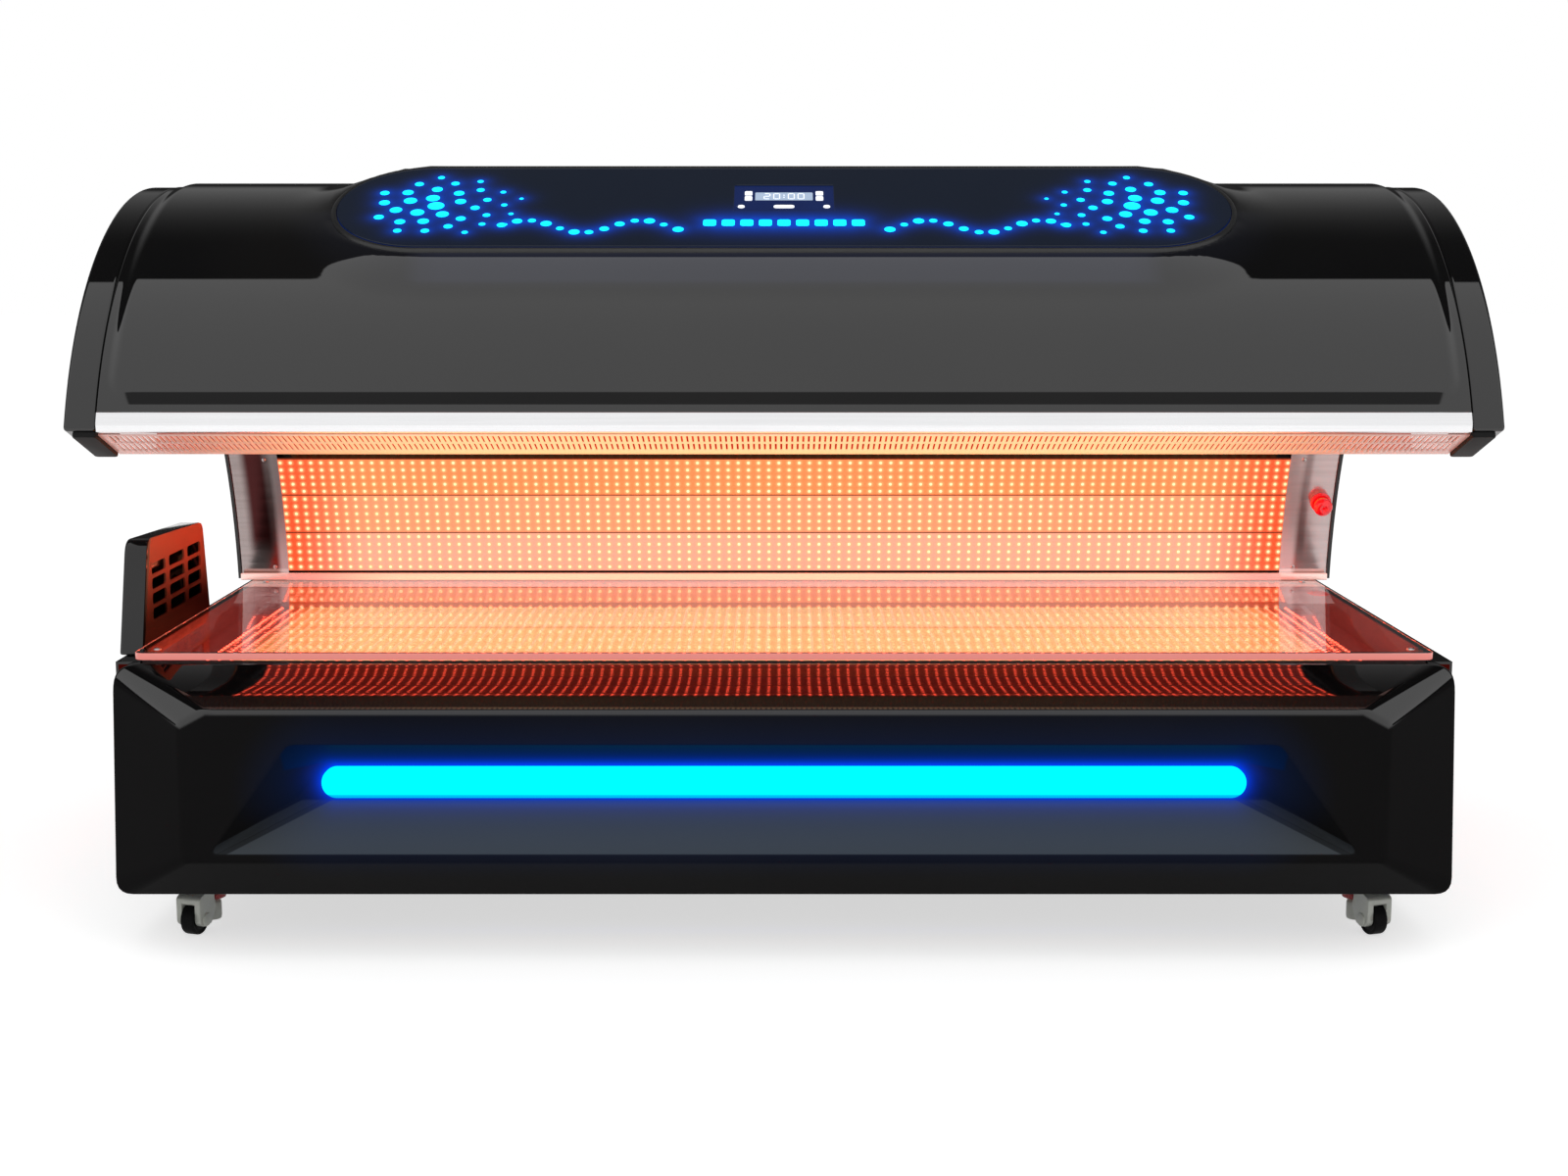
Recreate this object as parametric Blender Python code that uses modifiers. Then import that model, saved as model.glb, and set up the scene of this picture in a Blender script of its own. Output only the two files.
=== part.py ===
# Red light therapy bed: a clamshell bed on four levelling casters, with a hinged canopy.
# The base carries the LED tray, the clear sheet, the fan tower and the curved rear wall.
# Metres, +Z up, +X along the bed. y is counted back from the front corners of the base.
import math

import bmesh
import bpy
from mathutils import Matrix, Vector

# Driving dimensions
LENGTH = 2.198            # over the canopy end caps
END_CAP = 0.050           # thickness of one end cap
GAP = 0.0004              # left between pieces that touch
CASTER_H = 0.094          # floor to the underside of the base
BASE_H = 0.348            # base body, underside to top edge
BASE_DEPTH = 1.090        # front corners to the rear cover
PLATEAU = 0.089           # how far the front face stands out
WALL = 0.004              # cover thickness
COVER_DROP = 0.0075       # how far the covers hang below the underside
ACRYLIC_T = 0.012         # clear sheet thickness
BED_DEPTH = 0.807         # clear sheet, front to rear
CLOSED_DEPTH = 1.157      # canopy, front to rear when shut
TUNNEL_H = 0.436          # clear sheet to the canopy roof lights
ROOF = 0.168              # roof lights to the top of the canopy
RIM_LEG = 0.128           # depth of the canopy's front leg at its rim
OPEN_DEG = 19.27          # how far the canopy stands open at rest
PANEL_RAISE = 0.010       # the raised field of the canopy shell
POD_LENGTH = 1.480        # control panel
POD_WIDTH = 0.312
POD_TILT = 46.3           # slope of the control panel with the canopy shut
WALL_RADIUS = 0.720       # curve of the rear wall's lights
WALL_DEPTH = 0.060
TOWER_H = 0.177           # fan tower above the base top
TOWER_T = 0.040
WHEEL_R = 0.025
WHEEL_W = 0.022
TRAIL = 0.052             # caster wheel behind its swivel
FORK_HALF = 0.0210        # half the width of a caster's fork
ROD_ARM = 0.120           # gas spring end to the hinge axis

# Sizes that follow
BASE_TOP = CASTER_H + BASE_H
COVER_LOW = CASTER_H - COVER_DROP
SHELL_HALF = LENGTH / 2 - END_CAP - GAP
BASE_HALF = SHELL_HALF - 0.0186
SHEET_HALF = BASE_HALF - 0.030
SHEET_FRONT = 0.038
SHEET_REAR = SHEET_FRONT + BED_DEPTH
SHEET_Z = BASE_TOP + 0.004
SHEET_TOP = SHEET_Z + ACRYLIC_T
RIM_Z = SHEET_TOP + 0.020
HINGE_Y = BASE_DEPTH - 0.130
HINGE_Z = BASE_TOP - 0.062
RIB_X = SHEET_HALF - 0.015
TRIM_H = 0.028
FRONT_Y = -0.0245
CANOPY_REAR = FRONT_Y + CLOSED_DEPTH
ROOF_Z = SHEET_TOP + TUNNEL_H
TOP_Z = ROOF_Z + ROOF
REAR_Z = RIM_Z + 0.243
WALL_FOOT = Vector((SHEET_REAR + 0.003, SHEET_TOP + 0.012))
WALL_LEAN = math.radians(8)
SKIRT_Y = WALL_FOOT.x + WALL_DEPTH * math.cos(WALL_LEAN)
LED_HALF = SHEET_HALF - 0.065
WALL_HALF = SHEET_HALF + 0.030

for old in list(bpy.data.objects):
    bpy.data.objects.remove(old, do_unlink=True)
parts = bpy.data.collections.new("red_light_therapy_bed")
cutters = bpy.data.collections.new("cutters")
bpy.context.scene.collection.children.link(parts)
bpy.context.scene.collection.children.link(cutters)

# The frame's origin is the middle of the floor area at rest
root = bpy.data.objects.new("bed_origin", None)
parts.objects.link(root)
pivot = bpy.data.objects.new("canopy_pivot", None)
parts.objects.link(pivot)
pivot.parent = root
pivot.location = (0, HINGE_Y, HINGE_Z)
pivot.rotation_euler = (-math.radians(OPEN_DEG), 0, 0)


def tidy_mesh(bm, name):
    """Mesh data from bm with doubles merged and normals facing out."""
    bmesh.ops.remove_doubles(bm, verts=bm.verts, dist=1e-5)
    bmesh.ops.dissolve_degenerate(bm, edges=bm.edges, dist=1e-6)
    bmesh.ops.recalc_face_normals(bm, faces=bm.faces)
    mesh = bpy.data.meshes.new(name)
    bm.to_mesh(mesh)
    bm.free()
    return mesh


def box(name, xs, ys, zs):
    """Block between two x, two y and two z values."""
    bm = bmesh.new()
    low = Vector((min(xs), min(ys), min(zs)))
    high = Vector((max(xs), max(ys), max(zs)))
    place = Matrix.Translation((low + high) / 2) @ Matrix.Diagonal((*(high - low), 1))
    bmesh.ops.create_cube(bm, size=1, matrix=place)
    return tidy_mesh(bm, name)


def rod(name, start, end, radius, sides=24):
    """Round bar from start to end."""
    start = Vector(start)
    end = Vector(end)
    along = end - start
    turn = along.to_track_quat('Z', 'Y').to_matrix().to_4x4()
    bm = bmesh.new()
    bmesh.ops.create_cone(bm, cap_ends=True, segments=sides, radius1=radius, radius2=radius,
                          depth=along.length, matrix=Matrix.Translation((start + end) / 2) @ turn)
    return tidy_mesh(bm, name)


def turned(name, outline, sides=24):
    """Solid of revolution about z from a closed outline of (radius, height)."""
    bm = bmesh.new()
    ring = [bm.verts.new((r, 0, z)) for r, z in outline]
    edges = [bm.edges.new((ring[i - 1], ring[i])) for i in range(len(ring))]
    bmesh.ops.spin(bm, geom=ring + edges, axis=(0, 0, 1), cent=(0, 0, 0),
                   angle=2 * math.pi, steps=sides)
    bmesh.ops.remove_doubles(bm, verts=bm.verts, dist=1e-5)
    inner = [f for f in bm.faces if f.calc_area() < 1e-12]
    bmesh.ops.delete(bm, geom=inner, context='FACES_ONLY')
    loose = [e for e in bm.edges if not e.link_faces]
    bmesh.ops.delete(bm, geom=loose, context='EDGES')
    return tidy_mesh(bm, name)


def plate(name, loops, depth, place):
    """Flat plate from outlines in its own xy plane, holes included, depth along its z."""
    curve = bpy.data.curves.new(name, 'CURVE')
    curve.dimensions = '2D'
    curve.fill_mode = 'BOTH'
    curve.extrude = depth / 2
    for loop in loops:
        spline = curve.splines.new('POLY')
        spline.points.add(len(loop) - 1)
        spline.use_cyclic_u = True
        for point, (u, v) in zip(spline.points, loop):
            point.co = (u, v, 0, 1)
    holder = bpy.data.objects.new(name, curve)
    cutters.objects.link(holder)
    graph = bpy.context.evaluated_depsgraph_get()
    mesh = bpy.data.meshes.new_from_object(holder.evaluated_get(graph))
    bpy.data.objects.remove(holder, do_unlink=True)
    bm = bmesh.new()
    bm.from_mesh(mesh)
    bpy.data.meshes.remove(mesh)
    bm.transform(place)
    return tidy_mesh(bm, name)


# Turns (u, v, depth) into (x, y, z): outlines drawn in the y-z plane, and in the x-z plane
SIDE_ON = Matrix(((0, 0, 1, 0), (1, 0, 0, 0), (0, 1, 0, 0), (0, 0, 0, 1)))
FRONT_ON = Matrix(((1, 0, 0, 0), (0, 0, -1, 0), (0, 1, 0, 0), (0, 0, 0, 1)))


def side_plate(name, loops, xs):
    """Plate from outlines in (y, z), standing between two x values."""
    middle = (xs[0] + xs[1]) / 2
    return plate(name, loops, abs(xs[1] - xs[0]), Matrix.Translation((middle, 0, 0)) @ SIDE_ON)


def front_plate(name, loops, ys):
    """Plate from outlines in (x, z), standing between two y values."""
    middle = (ys[0] + ys[1]) / 2
    return plate(name, loops, abs(ys[1] - ys[0]), Matrix.Translation((0, middle, 0)) @ FRONT_ON)


def rounded(u0, u1, v0, v1, radius, steps=4):
    """Outline of a rectangle with round corners."""
    corners = ((u1, v1, 0), (u0, v1, 90), (u0, v0, 180), (u1, v0, 270))
    loop = []
    for u, v, start in corners:
        cu = u - radius if u == u1 else u + radius
        cv = v - radius if v == v1 else v + radius
        for k in range(steps + 1):
            a = math.radians(start + 90 * k / steps)
            loop.append((cu + radius * math.cos(a), cv + radius * math.sin(a)))
    return loop


def circle(u, v, radius, sides=20):
    """Outline of a circle."""
    turn = 2 * math.pi / sides
    return [(u + radius * math.cos(turn * k), v + radius * math.sin(turn * k)) for k in range(sides)]


def bezier(p0, c0, c1, p1, steps):
    """Points on a cubic curve between p0 and p1."""
    points = []
    for k in range(steps + 1):
        t = k / steps
        s = 1 - t
        points.append(s**3 * p0 + 3 * s * s * t * c0 + 3 * s * t * t * c1 + t**3 * p1)
    return points


def offset(path, distance):
    """Open path of (y, z) points moved to its left by distance."""
    moved = []
    last = len(path) - 1
    for k, point in enumerate(path):
        before = path[max(k - 1, 0)]
        after = path[min(k + 1, last)]
        a = (point - before).normalized() if k > 0 else (after - point).normalized()
        b = (after - point).normalized() if k < last else a
        na = Vector((-a.y, a.x))
        nb = Vector((-b.y, b.x))
        middle = (na + nb).normalized()
        moved.append(point + middle * distance / max(middle.dot(na), 0.5))
    return moved


def finish(node, colour, rough, metal=0.0, glow=None, clear=0.0):
    """Own Principled material for the object."""
    material = bpy.data.materials.new(node.name)
    material.use_nodes = True
    shader = material.node_tree.nodes["Principled BSDF"]
    shader.inputs["Base Color"].default_value = (*colour, 1)
    shader.inputs["Roughness"].default_value = rough
    shader.inputs["Metallic"].default_value = metal
    shader.inputs["Transmission Weight"].default_value = clear
    if glow:
        shader.inputs["Emission Color"].default_value = (*glow, 1)
        shader.inputs["Emission Strength"].default_value = 1.0
    node.data.materials.clear()
    node.data.materials.append(material)


def part(mesh, colour, rough, metal=0.0, glow=None, clear=0.0, at=None, turn=None, on_canopy=False):
    """Named part; canopy parts are drawn with the canopy shut and ride on the pivot."""
    node = bpy.data.objects.new(mesh.name, mesh)
    parts.objects.link(node)
    finish(node, colour, rough, metal, glow, clear)
    place = Matrix.Translation(at) if at is not None else Matrix()
    if turn is not None:
        place = place @ turn
    if on_canopy:
        node.parent = pivot
        node.matrix_parent_inverse = Matrix.Translation((0, -HINGE_Y, -HINGE_Z))
    else:
        node.parent = root
    node.matrix_basis = place
    return node


def shape(node, mesh, how):
    """Join a tool mesh to the part or cut it away; the tool rides with the part."""
    tool = bpy.data.objects.new(node.name + "_" + mesh.name, mesh)
    cutters.objects.link(tool)
    tool.parent = node
    tool.hide_render = True
    tool.display_type = 'WIRE'
    step = node.modifiers.new(mesh.name, 'BOOLEAN')
    step.operation = how
    step.solver = 'EXACT'
    step.object = tool
    return tool


def join(node, mesh):
    """Add the tool mesh to the part."""
    return shape(node, mesh, 'UNION')


def cut(node, mesh):
    """Take the tool mesh out of the part."""
    return shape(node, mesh, 'DIFFERENCE')


def soften(node, width, segments=2, angle=30):
    """Round the part's sharp edges."""
    step = node.modifiers.new("soften", 'BEVEL')
    step.width = width
    step.segments = segments
    step.limit_method = 'ANGLE'
    step.angle_limit = math.radians(angle)


BLACK = (0.012, 0.012, 0.013)
STEEL = (0.55, 0.56, 0.57)
RED_GLOW = (1.0, 0.16, 0.05)
SIDES = (("left", -1), ("right", 1))

# Frame: floor plate with rails, posts and caster pads, welded into one
RAIL = 0.030
FLOOR_Z = CASTER_H + 0.004
FRAME_HALF = BASE_HALF - 0.030
FRAME_FRONT = 0.070
FRAME_REAR = BASE_DEPTH - 0.040
TRAY_Z = BASE_TOP - 0.046
CASTER_X = FRAME_HALF - 0.085
CASTER_Y = (FRAME_FRONT + 0.060, FRAME_REAR - 0.070)
SKIRT_Z = BASE_TOP - 0.082
frame = part(box("base_frame", (-FRAME_HALF, FRAME_HALF), (FRAME_FRONT, FRAME_REAR), (CASTER_H, FLOOR_Z)),
             (0.05, 0.05, 0.05), 0.5, 0.3)
rail_z = (CASTER_H + 0.001, FLOOR_Z + RAIL)
long_rail = (-FRAME_HALF, FRAME_HALF)
join(frame, box("front_rail", long_rail, (FRAME_FRONT + 0.0005, FRAME_FRONT + RAIL), rail_z))
join(frame, box("rear_rail", long_rail, (FRAME_REAR - RAIL, FRAME_REAR - 0.0005), rail_z))
for tag, s in SIDES:
    post_x = (s * (CASTER_X - 0.035), s * (CASTER_X - 0.005))
    join(frame, box("cross_" + tag, post_x, (FRAME_FRONT + 0.01, FRAME_REAR - 0.01), rail_z))
    join(frame, box("front_post_" + tag, post_x, (FRAME_FRONT + 0.03, FRAME_FRONT + 0.06),
                    (CASTER_H + 0.002, TRAY_Z - GAP)))
    join(frame, box("rear_post_" + tag, post_x, (SKIRT_Y - 0.022, SKIRT_Y + 0.008),
                    (CASTER_H + 0.002, SKIRT_Z - GAP)))
    for end, y in zip(("front", "rear"), CASTER_Y):
        pad_x = (s * CASTER_X - 0.035, s * CASTER_X + 0.035)
        join(frame, box("pad_%s_%s" % (end, tag), pad_x, (y - 0.035, y + 0.035),
                        (CASTER_H - 0.004, CASTER_H + 0.002)))

# Casters: a swivelling housing with a wheel, and a screw foot in the middle of the swivel
PAD_Z = CASTER_H - 0.004
BELL_Z = WHEEL_R + 0.033
BELL_TOP = PAD_Z - GAP
AXLE = (0, -TRAIL, WHEEL_R)
CASTER_YAW = 18           # degrees the casters stand turned outwards
bell_outline = [(0.0065, BELL_Z), (0.0265, BELL_Z), (0.0270, BELL_Z + 0.024), (0.0220, BELL_TOP),
                (0, BELL_TOP), (0, BELL_TOP - 0.006), (0.0065, BELL_TOP - 0.006)]
fork_outline = [(-TRAIL - 0.027, WHEEL_R - 0.006), (-TRAIL - 0.029, WHEEL_R + 0.012),
                (-TRAIL - 0.020, WHEEL_R + 0.030), (-TRAIL + 0.006, WHEEL_R + 0.042),
                (-0.016, WHEEL_R + 0.052), (-0.010, WHEEL_R + 0.052), (-0.010, BELL_Z + 0.002),
                (-TRAIL + 0.024, BELL_Z + 0.002), (-TRAIL + 0.028, WHEEL_R + 0.012),
                (-TRAIL + 0.014, WHEEL_R - 0.010), (-TRAIL - 0.014, WHEEL_R - 0.010)]
wheel_outline = [(0.0047, -WHEEL_W / 2), (WHEEL_R - 0.003, -WHEEL_W / 2), (WHEEL_R, -WHEEL_W / 2 + 0.003),
                 (WHEEL_R, WHEEL_W / 2 - 0.003), (WHEEL_R - 0.003, WHEEL_W / 2), (0.0047, WHEEL_W / 2)]
foot_outline = [(0, 0.011), (0.0130, 0.011), (0.0140, 0.0165), (0.0140, BELL_Z - 0.0195),
                (0.0110, BELL_Z - 0.0150), (0.0060, BELL_Z - 0.0145), (0.0060, BELL_Z - 0.013),
                (0.0215, BELL_Z - 0.012), (0.0225, BELL_Z - 0.003), (0.0060, BELL_Z - 0.002),
                (0.0060, BELL_TOP - 0.009), (0, BELL_TOP - 0.009)]
for end, y in zip(("front", "rear"), CASTER_Y):
    for tag, s in SIDES:
        spot = "%s_%s" % (end, tag)
        swivel = (s * CASTER_X, y, 0)
        yaw = Matrix.Rotation(s * math.radians(CASTER_YAW), 4, 'Z')
        housing = part(turned("caster_housing_" + spot, bell_outline, 16), (0.42, 0.43, 0.41), 0.4, 0.6,
                       at=swivel, turn=yaw)
        join(housing, side_plate("fork", [fork_outline], (-FORK_HALF, FORK_HALF)))
        cut(housing, rod("slot", (-0.0117, *AXLE[1:]), (0.0117, *AXLE[1:]), WHEEL_R + 0.0025, 20))
        join(housing, rod("axle", (-FORK_HALF - 0.0035, *AXLE[1:]),
                          (FORK_HALF + 0.0035, *AXLE[1:]), 0.0040, 12))
        for cap in (-1, 1):
            join(housing, rod("cap%d" % cap, (cap * (FORK_HALF - 0.0005), *AXLE[1:]),
                              (cap * (FORK_HALF + 0.0030), *AXLE[1:]), 0.010, 12))
        upright = yaw @ Matrix.Translation(AXLE) @ Matrix.Rotation(math.radians(90), 4, 'Y')
        part(turned("caster_wheel_" + spot, wheel_outline, 24), (0.02, 0.02, 0.02), 0.5,
             at=swivel, turn=upright)
        part(turned("caster_foot_" + spot, foot_outline, 14), (0.60, 0.05, 0.04), 0.5, at=swivel)


def hexahedron(name, rings):
    """Block through four-cornered outlines of (x, y, z), joined in order and closed at both ends."""
    bm = bmesh.new()
    bmesh.ops.create_cube(bm, size=1)
    bm.faces.ensure_lookup_table()
    end = min(bm.faces, key=lambda f: f.calc_center_median().y)
    other = max(bm.faces, key=lambda f: f.calc_center_median().y)

    def seat(face, ring):
        for vert in face.verts:
            middle = face.calc_center_median()
            side = (vert.co - middle)
            index = (0 if side.z > 0 else 2) + (0 if side.x > 0 else 1)
            targets.append((vert, ring[index]))

    targets = []
    seat(other, rings[-1])
    seat(end, rings[0])
    for vert, spot in targets:
        vert.co = spot
    if len(rings) == 3:
        long_edges = [e for e in bm.edges if (e.verts[0] in end.verts) != (e.verts[1] in end.verts)]
        cutsplit = bmesh.ops.subdivide_edges(bm, edges=long_edges, cuts=1)
        fresh = [g for g in cutsplit["geom_inner"] if isinstance(g, bmesh.types.BMVert)]
        middle = sum((v.co for v in fresh), Vector()) / len(fresh)
        for vert in fresh:
            side = vert.co - middle
            vert.co = rings[1][(0 if side.z > 0 else 2) + (0 if side.x > 0 else 1)]
    return tidy_mesh(bm, name)


def ring(half, y_top, z_top, y_low, z_low, half_low=None):
    """Four corners: top right, top left, low right, low left."""
    low = half if half_low is None else half_low
    return [(half, y_top, z_top), (-half, y_top, z_top), (low, y_low, z_low), (-low, y_low, z_low)]


# Front cover: faceted front with a scooped recess for the light bar
FACE_HALF = BASE_HALF - 0.132
FACE_TOP = BASE_TOP - 0.049
FACE_LOW = CASTER_H + 0.068
RECESS = PLATEAU - 0.010
COVER_BACK = 0.050
BAR_Z = CASTER_H + 0.174
BAR_HALF = FACE_HALF - 0.195
BAR_H = 0.047
LIP_SPLAY = 0.115         # how much wider the recess is at its foot


def cover_body(name, inset, back):
    """Front cover's outside, or the space inside it when inset by the wall."""
    face_y = -PLATEAU + inset
    return hexahedron(name, [
        ring(FACE_HALF - inset / 2, face_y, FACE_TOP - inset / 2, face_y, FACE_LOW + inset / 2),
        ring(BASE_HALF - inset, 0.030 + inset / 2, BASE_TOP - inset, inset / 2, COVER_LOW + inset),
        ring(BASE_HALF - inset, back, BASE_TOP - inset, back, COVER_LOW + inset)])


def recess_body(name, grow):
    """The scoop, its sides flat, widening from the light bar to the face and carried on past it."""
    far = 0.5
    lip_top = FACE_TOP - 0.051 + grow
    lip_low = FACE_LOW + 0.010 - grow
    deep_top = BAR_Z + BAR_H / 2 + 0.004 + grow
    deep_low = BAR_Z - BAR_H / 2 - 0.004 - grow
    splay = LIP_SPLAY / (lip_top - lip_low) * (deep_top - deep_low)
    deep_half = BAR_HALF + 0.004 + grow
    deep_y = -PLATEAU + RECESS + grow
    deep = ring(deep_half, deep_y, deep_top, deep_y, deep_low, deep_half + splay)
    lip_half = FACE_HALF - 0.151 + grow
    lip = ring(lip_half, -PLATEAU, lip_top, -PLATEAU, lip_low, lip_half + LIP_SPLAY)
    out = [tuple(Vector(a) + (Vector(a) - Vector(b)) * far) for a, b in zip(lip, deep)]
    return hexahedron(name, [out, deep])


front = part(cover_body("base_front_cover", 0, COVER_BACK + 0.040), BLACK, 0.12)
soften(front, 0.010, 2, 12)
cut(front, box("trim_back", (-LENGTH, LENGTH), (COVER_BACK, COVER_BACK + 0.1), (0, 2 * BASE_TOP)))
space = cut(front, cover_body("space", WALL, COVER_BACK + 0.02))
keep = space.modifiers.new("keep", 'BOOLEAN')
keep.operation = 'DIFFERENCE'
keep.solver = 'EXACT'
behind = bpy.data.objects.new("recess_behind", recess_body("recess_behind", WALL))
cutters.objects.link(behind)
behind.parent = front
behind.hide_render = True
behind.display_type = 'WIRE'
keep.object = behind
cut(front, recess_body("recess", 0))

# Light bar: a glowing lozenge seated in the back of the recess
bar_y = -PLATEAU + RECESS - GAP
part(front_plate("light_bar", [rounded(-BAR_HALF, BAR_HALF, BAR_Z - BAR_H / 2, BAR_Z + BAR_H / 2,
                                       BAR_H / 2 - 0.0005, 6)], (bar_y - 0.018, bar_y)),
     (0.0, 0.8, 0.85), 0.3, glow=(0, 1, 1))

# End covers: folded sheet, wide face out, a ledge along the top and a lip hanging below the fold
COVER_Y = (COVER_BACK + GAP, BASE_DEPTH)
LEDGE = 0.038
for tag, s in SIDES:
    section = [(s * BASE_HALF, COVER_LOW), (s * BASE_HALF, BASE_TOP), (s * (BASE_HALF - LEDGE), BASE_TOP),
               (s * (BASE_HALF - LEDGE), BASE_TOP - WALL), (s * (BASE_HALF - WALL), BASE_TOP - WALL),
               (s * (BASE_HALF - WALL), CASTER_H + WALL), (s * (FRAME_HALF + GAP), CASTER_H + WALL),
               (s * (FRAME_HALF + GAP), CASTER_H), (s * (BASE_HALF - WALL), CASTER_H),
               (s * (BASE_HALF - WALL), COVER_LOW)]
    part(front_plate("base_end_cover_" + tag, [section], COVER_Y), BLACK, 0.12)

# Rear cover with vent slots, folded forward into a deck, with the mains inlet and the LED driver inside
REAR_HALF = BASE_HALF - WALL - GAP
INLET = (0.55, CASTER_H + 0.11)
INLET_W = 0.059
INLET_H = 0.047
INLET_DEPTH = 0.036
VENT_Z = CASTER_H + 0.19
VENT_STEP = 0.022
VENT_H = 0.010


def inlet_loop(grow):
    """Outline of the mains inlet, or of its hole when grown."""
    half_w = INLET_W / 2 + grow
    half_h = INLET_H / 2 + grow
    return rounded(INLET[0] - half_w, INLET[0] + half_w, INLET[1] - half_h, INLET[1] + half_h, 0.004, 2)


vents = [rounded(x - 0.06, x + 0.06, VENT_Z + VENT_STEP * k, VENT_Z + VENT_STEP * k + VENT_H, 0.0045, 3)
         for x in (-0.3, 0.0) for k in range(3)]
rear_loop = rounded(-REAR_HALF, REAR_HALF, CASTER_H + WALL + GAP, BASE_TOP - WALL - GAP, 0.004, 1)
rear = part(front_plate("base_rear_cover", [rear_loop] + vents + [inlet_loop(0.0005)],
                        (BASE_DEPTH - 0.006, BASE_DEPTH - 0.002)), BLACK, 0.3)
DECK_HALF = RIB_X - 0.055
join(rear, box("deck", (-DECK_HALF, DECK_HALF), (SKIRT_Y + 0.030, BASE_DEPTH - 0.004),
               (BASE_TOP - 0.024, BASE_TOP - 0.020)))
inlet = part(front_plate("mains_inlet", [inlet_loop(0)], (BASE_DEPTH - INLET_DEPTH, BASE_DEPTH)),
             (0.02, 0.02, 0.02), 0.5)
cut(inlet, box("socket", (INLET[0] - 0.013, INLET[0] + 0.013), (BASE_DEPTH - 0.020, BASE_DEPTH + 0.01),
               (INLET[1] - 0.010, INLET[1] + 0.010)))
DRIVER_W = 0.320
DRIVER_D = 0.140
DRIVER_H = 0.075
DRIVER_Y = 0.400
driver = part(box("led_driver", (-DRIVER_W / 2, DRIVER_W / 2), (DRIVER_Y, DRIVER_Y + DRIVER_D),
                  (FLOOR_Z + GAP, FLOOR_Z + DRIVER_H)), (0.5, 0.5, 0.5), 0.4, 0.8)
soften(driver, 0.004, 1)

# Bed tray, its LED board and the clear sheet that the user lies on
TRAY_HALF = BASE_HALF - LEDGE - 0.002
TRAY_Y = (COVER_BACK + 0.005, HINGE_Y - ROD_ARM - 0.050)
tray = part(box("bed_tray", (-TRAY_HALF, TRAY_HALF), TRAY_Y, (TRAY_Z, SHEET_Z - GAP)),
            (0.35, 0.33, 0.33), 0.3, 0.6)
cut(tray, box("well", (0.003 - TRAY_HALF, TRAY_HALF - 0.003), (TRAY_Y[0] + 0.003, TRAY_Y[1] - 0.003),
              (TRAY_Z + 0.003, SHEET_Z + 0.01)))
part(box("bed_led_board", (-LED_HALF, LED_HALF), (TRAY_Y[0] + 0.012, TRAY_Y[1] - 0.012),
         (TRAY_Z + 0.003 + GAP, TRAY_Z + 0.008)), (0.5, 0.1, 0.05), 0.5, glow=RED_GLOW)
sheet_loop = rounded(-SHEET_HALF, SHEET_HALF, SHEET_FRONT, SHEET_REAR, 0.018, 4)
sheet_place = Matrix.Translation((0, 0, SHEET_Z + ACRYLIC_T / 2))
sheet = part(plate("bed_sheet", [sheet_loop], ACRYLIC_T, sheet_place), (0.95, 0.9, 0.9), 0.05, clear=0.9)

# Fan tower on the left end: a hollow cover, a slotted grille, and the fan behind it
TOWER_X = -SHEET_HALF - GAP
TOWER_Z = BASE_TOP + GAP
tower_low = (0.104, 0.515)
tower_top = (0.155, 0.486)
GRILLE_T = 0.003


def tower_outline(inset):
    """Side view of the tower, leaning in at both ends, with round upper corners."""
    top = BASE_TOP + TOWER_H - inset
    low = TOWER_Z + inset
    lean_a = (tower_top[0] - tower_low[0]) / TOWER_H
    lean_b = (tower_top[1] - tower_low[1]) / TOWER_H
    r = 0.020 - inset
    front_top = tower_top[0] + inset
    rear_top = tower_top[1] - inset
    loop = [(front_top - lean_a * (top - low), low)]
    for k in range(5):
        a = math.radians(180 - 22.5 * k)
        loop.append((front_top + r + r * math.cos(a), top - r + r * math.sin(a)))
    for k in range(5):
        a = math.radians(90 - 22.5 * k)
        loop.append((rear_top - r + r * math.cos(a), top - 0.010 - r + r * math.sin(a)))
    loop.append((rear_top - lean_b * (top - low), low))
    return loop


tower = part(side_plate("tower_cover", [tower_outline(0)], (TOWER_X - TOWER_T, TOWER_X - GRILLE_T - GAP)),
             BLACK, 0.15)
cut(tower, side_plate("hollow", [tower_outline(0.003)], (TOWER_X - TOWER_T + 0.003, TOWER_X + 0.01)))
ROW = 0.024
row_z = BASE_TOP + 0.047
columns = ((0.163, 0.243), (0.265, 0.358), (0.378, 0.462))
slots = [rounded(a, b, row_z + ROW * k, row_z + ROW * k + 0.018, 0.006, 3)
         for a, b in columns for k in range(4)]
part(side_plate("tower_grille", [tower_outline(0)] + slots, (TOWER_X - GRILLE_T, TOWER_X)),
     (0.06, 0.06, 0.06), 0.2)
FAN_Y = (tower_low[0] + tower_low[1]) / 2
FAN = 0.046
FAN_Z = TOWER_Z + 0.003 + GAP + 0.004 + FAN
fan_x = (TOWER_X - TOWER_T + 0.003 + GAP, TOWER_X - GRILLE_T - 0.002)
fan_half = FAN + 0.004
square = rounded(FAN_Y - fan_half, FAN_Y + fan_half, FAN_Z - fan_half, FAN_Z + fan_half, 0.006, 2)
fan = part(side_plate("tower_fan_frame", [square, circle(FAN_Y, FAN_Z, FAN, 28)], fan_x),
           (0.02, 0.02, 0.02), 0.5)
join(fan, box("strut", (fan_x[0] + 0.0005, fan_x[0] + 0.003), (FAN_Y - FAN - 0.002, FAN_Y + FAN + 0.002),
              (FAN_Z - 0.006, FAN_Z + 0.006)))
join(fan, rod("motor", (fan_x[0] + 0.0003, FAN_Y, FAN_Z), (fan_x[0] + 0.008, FAN_Y, FAN_Z), 0.017, 16))
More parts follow.
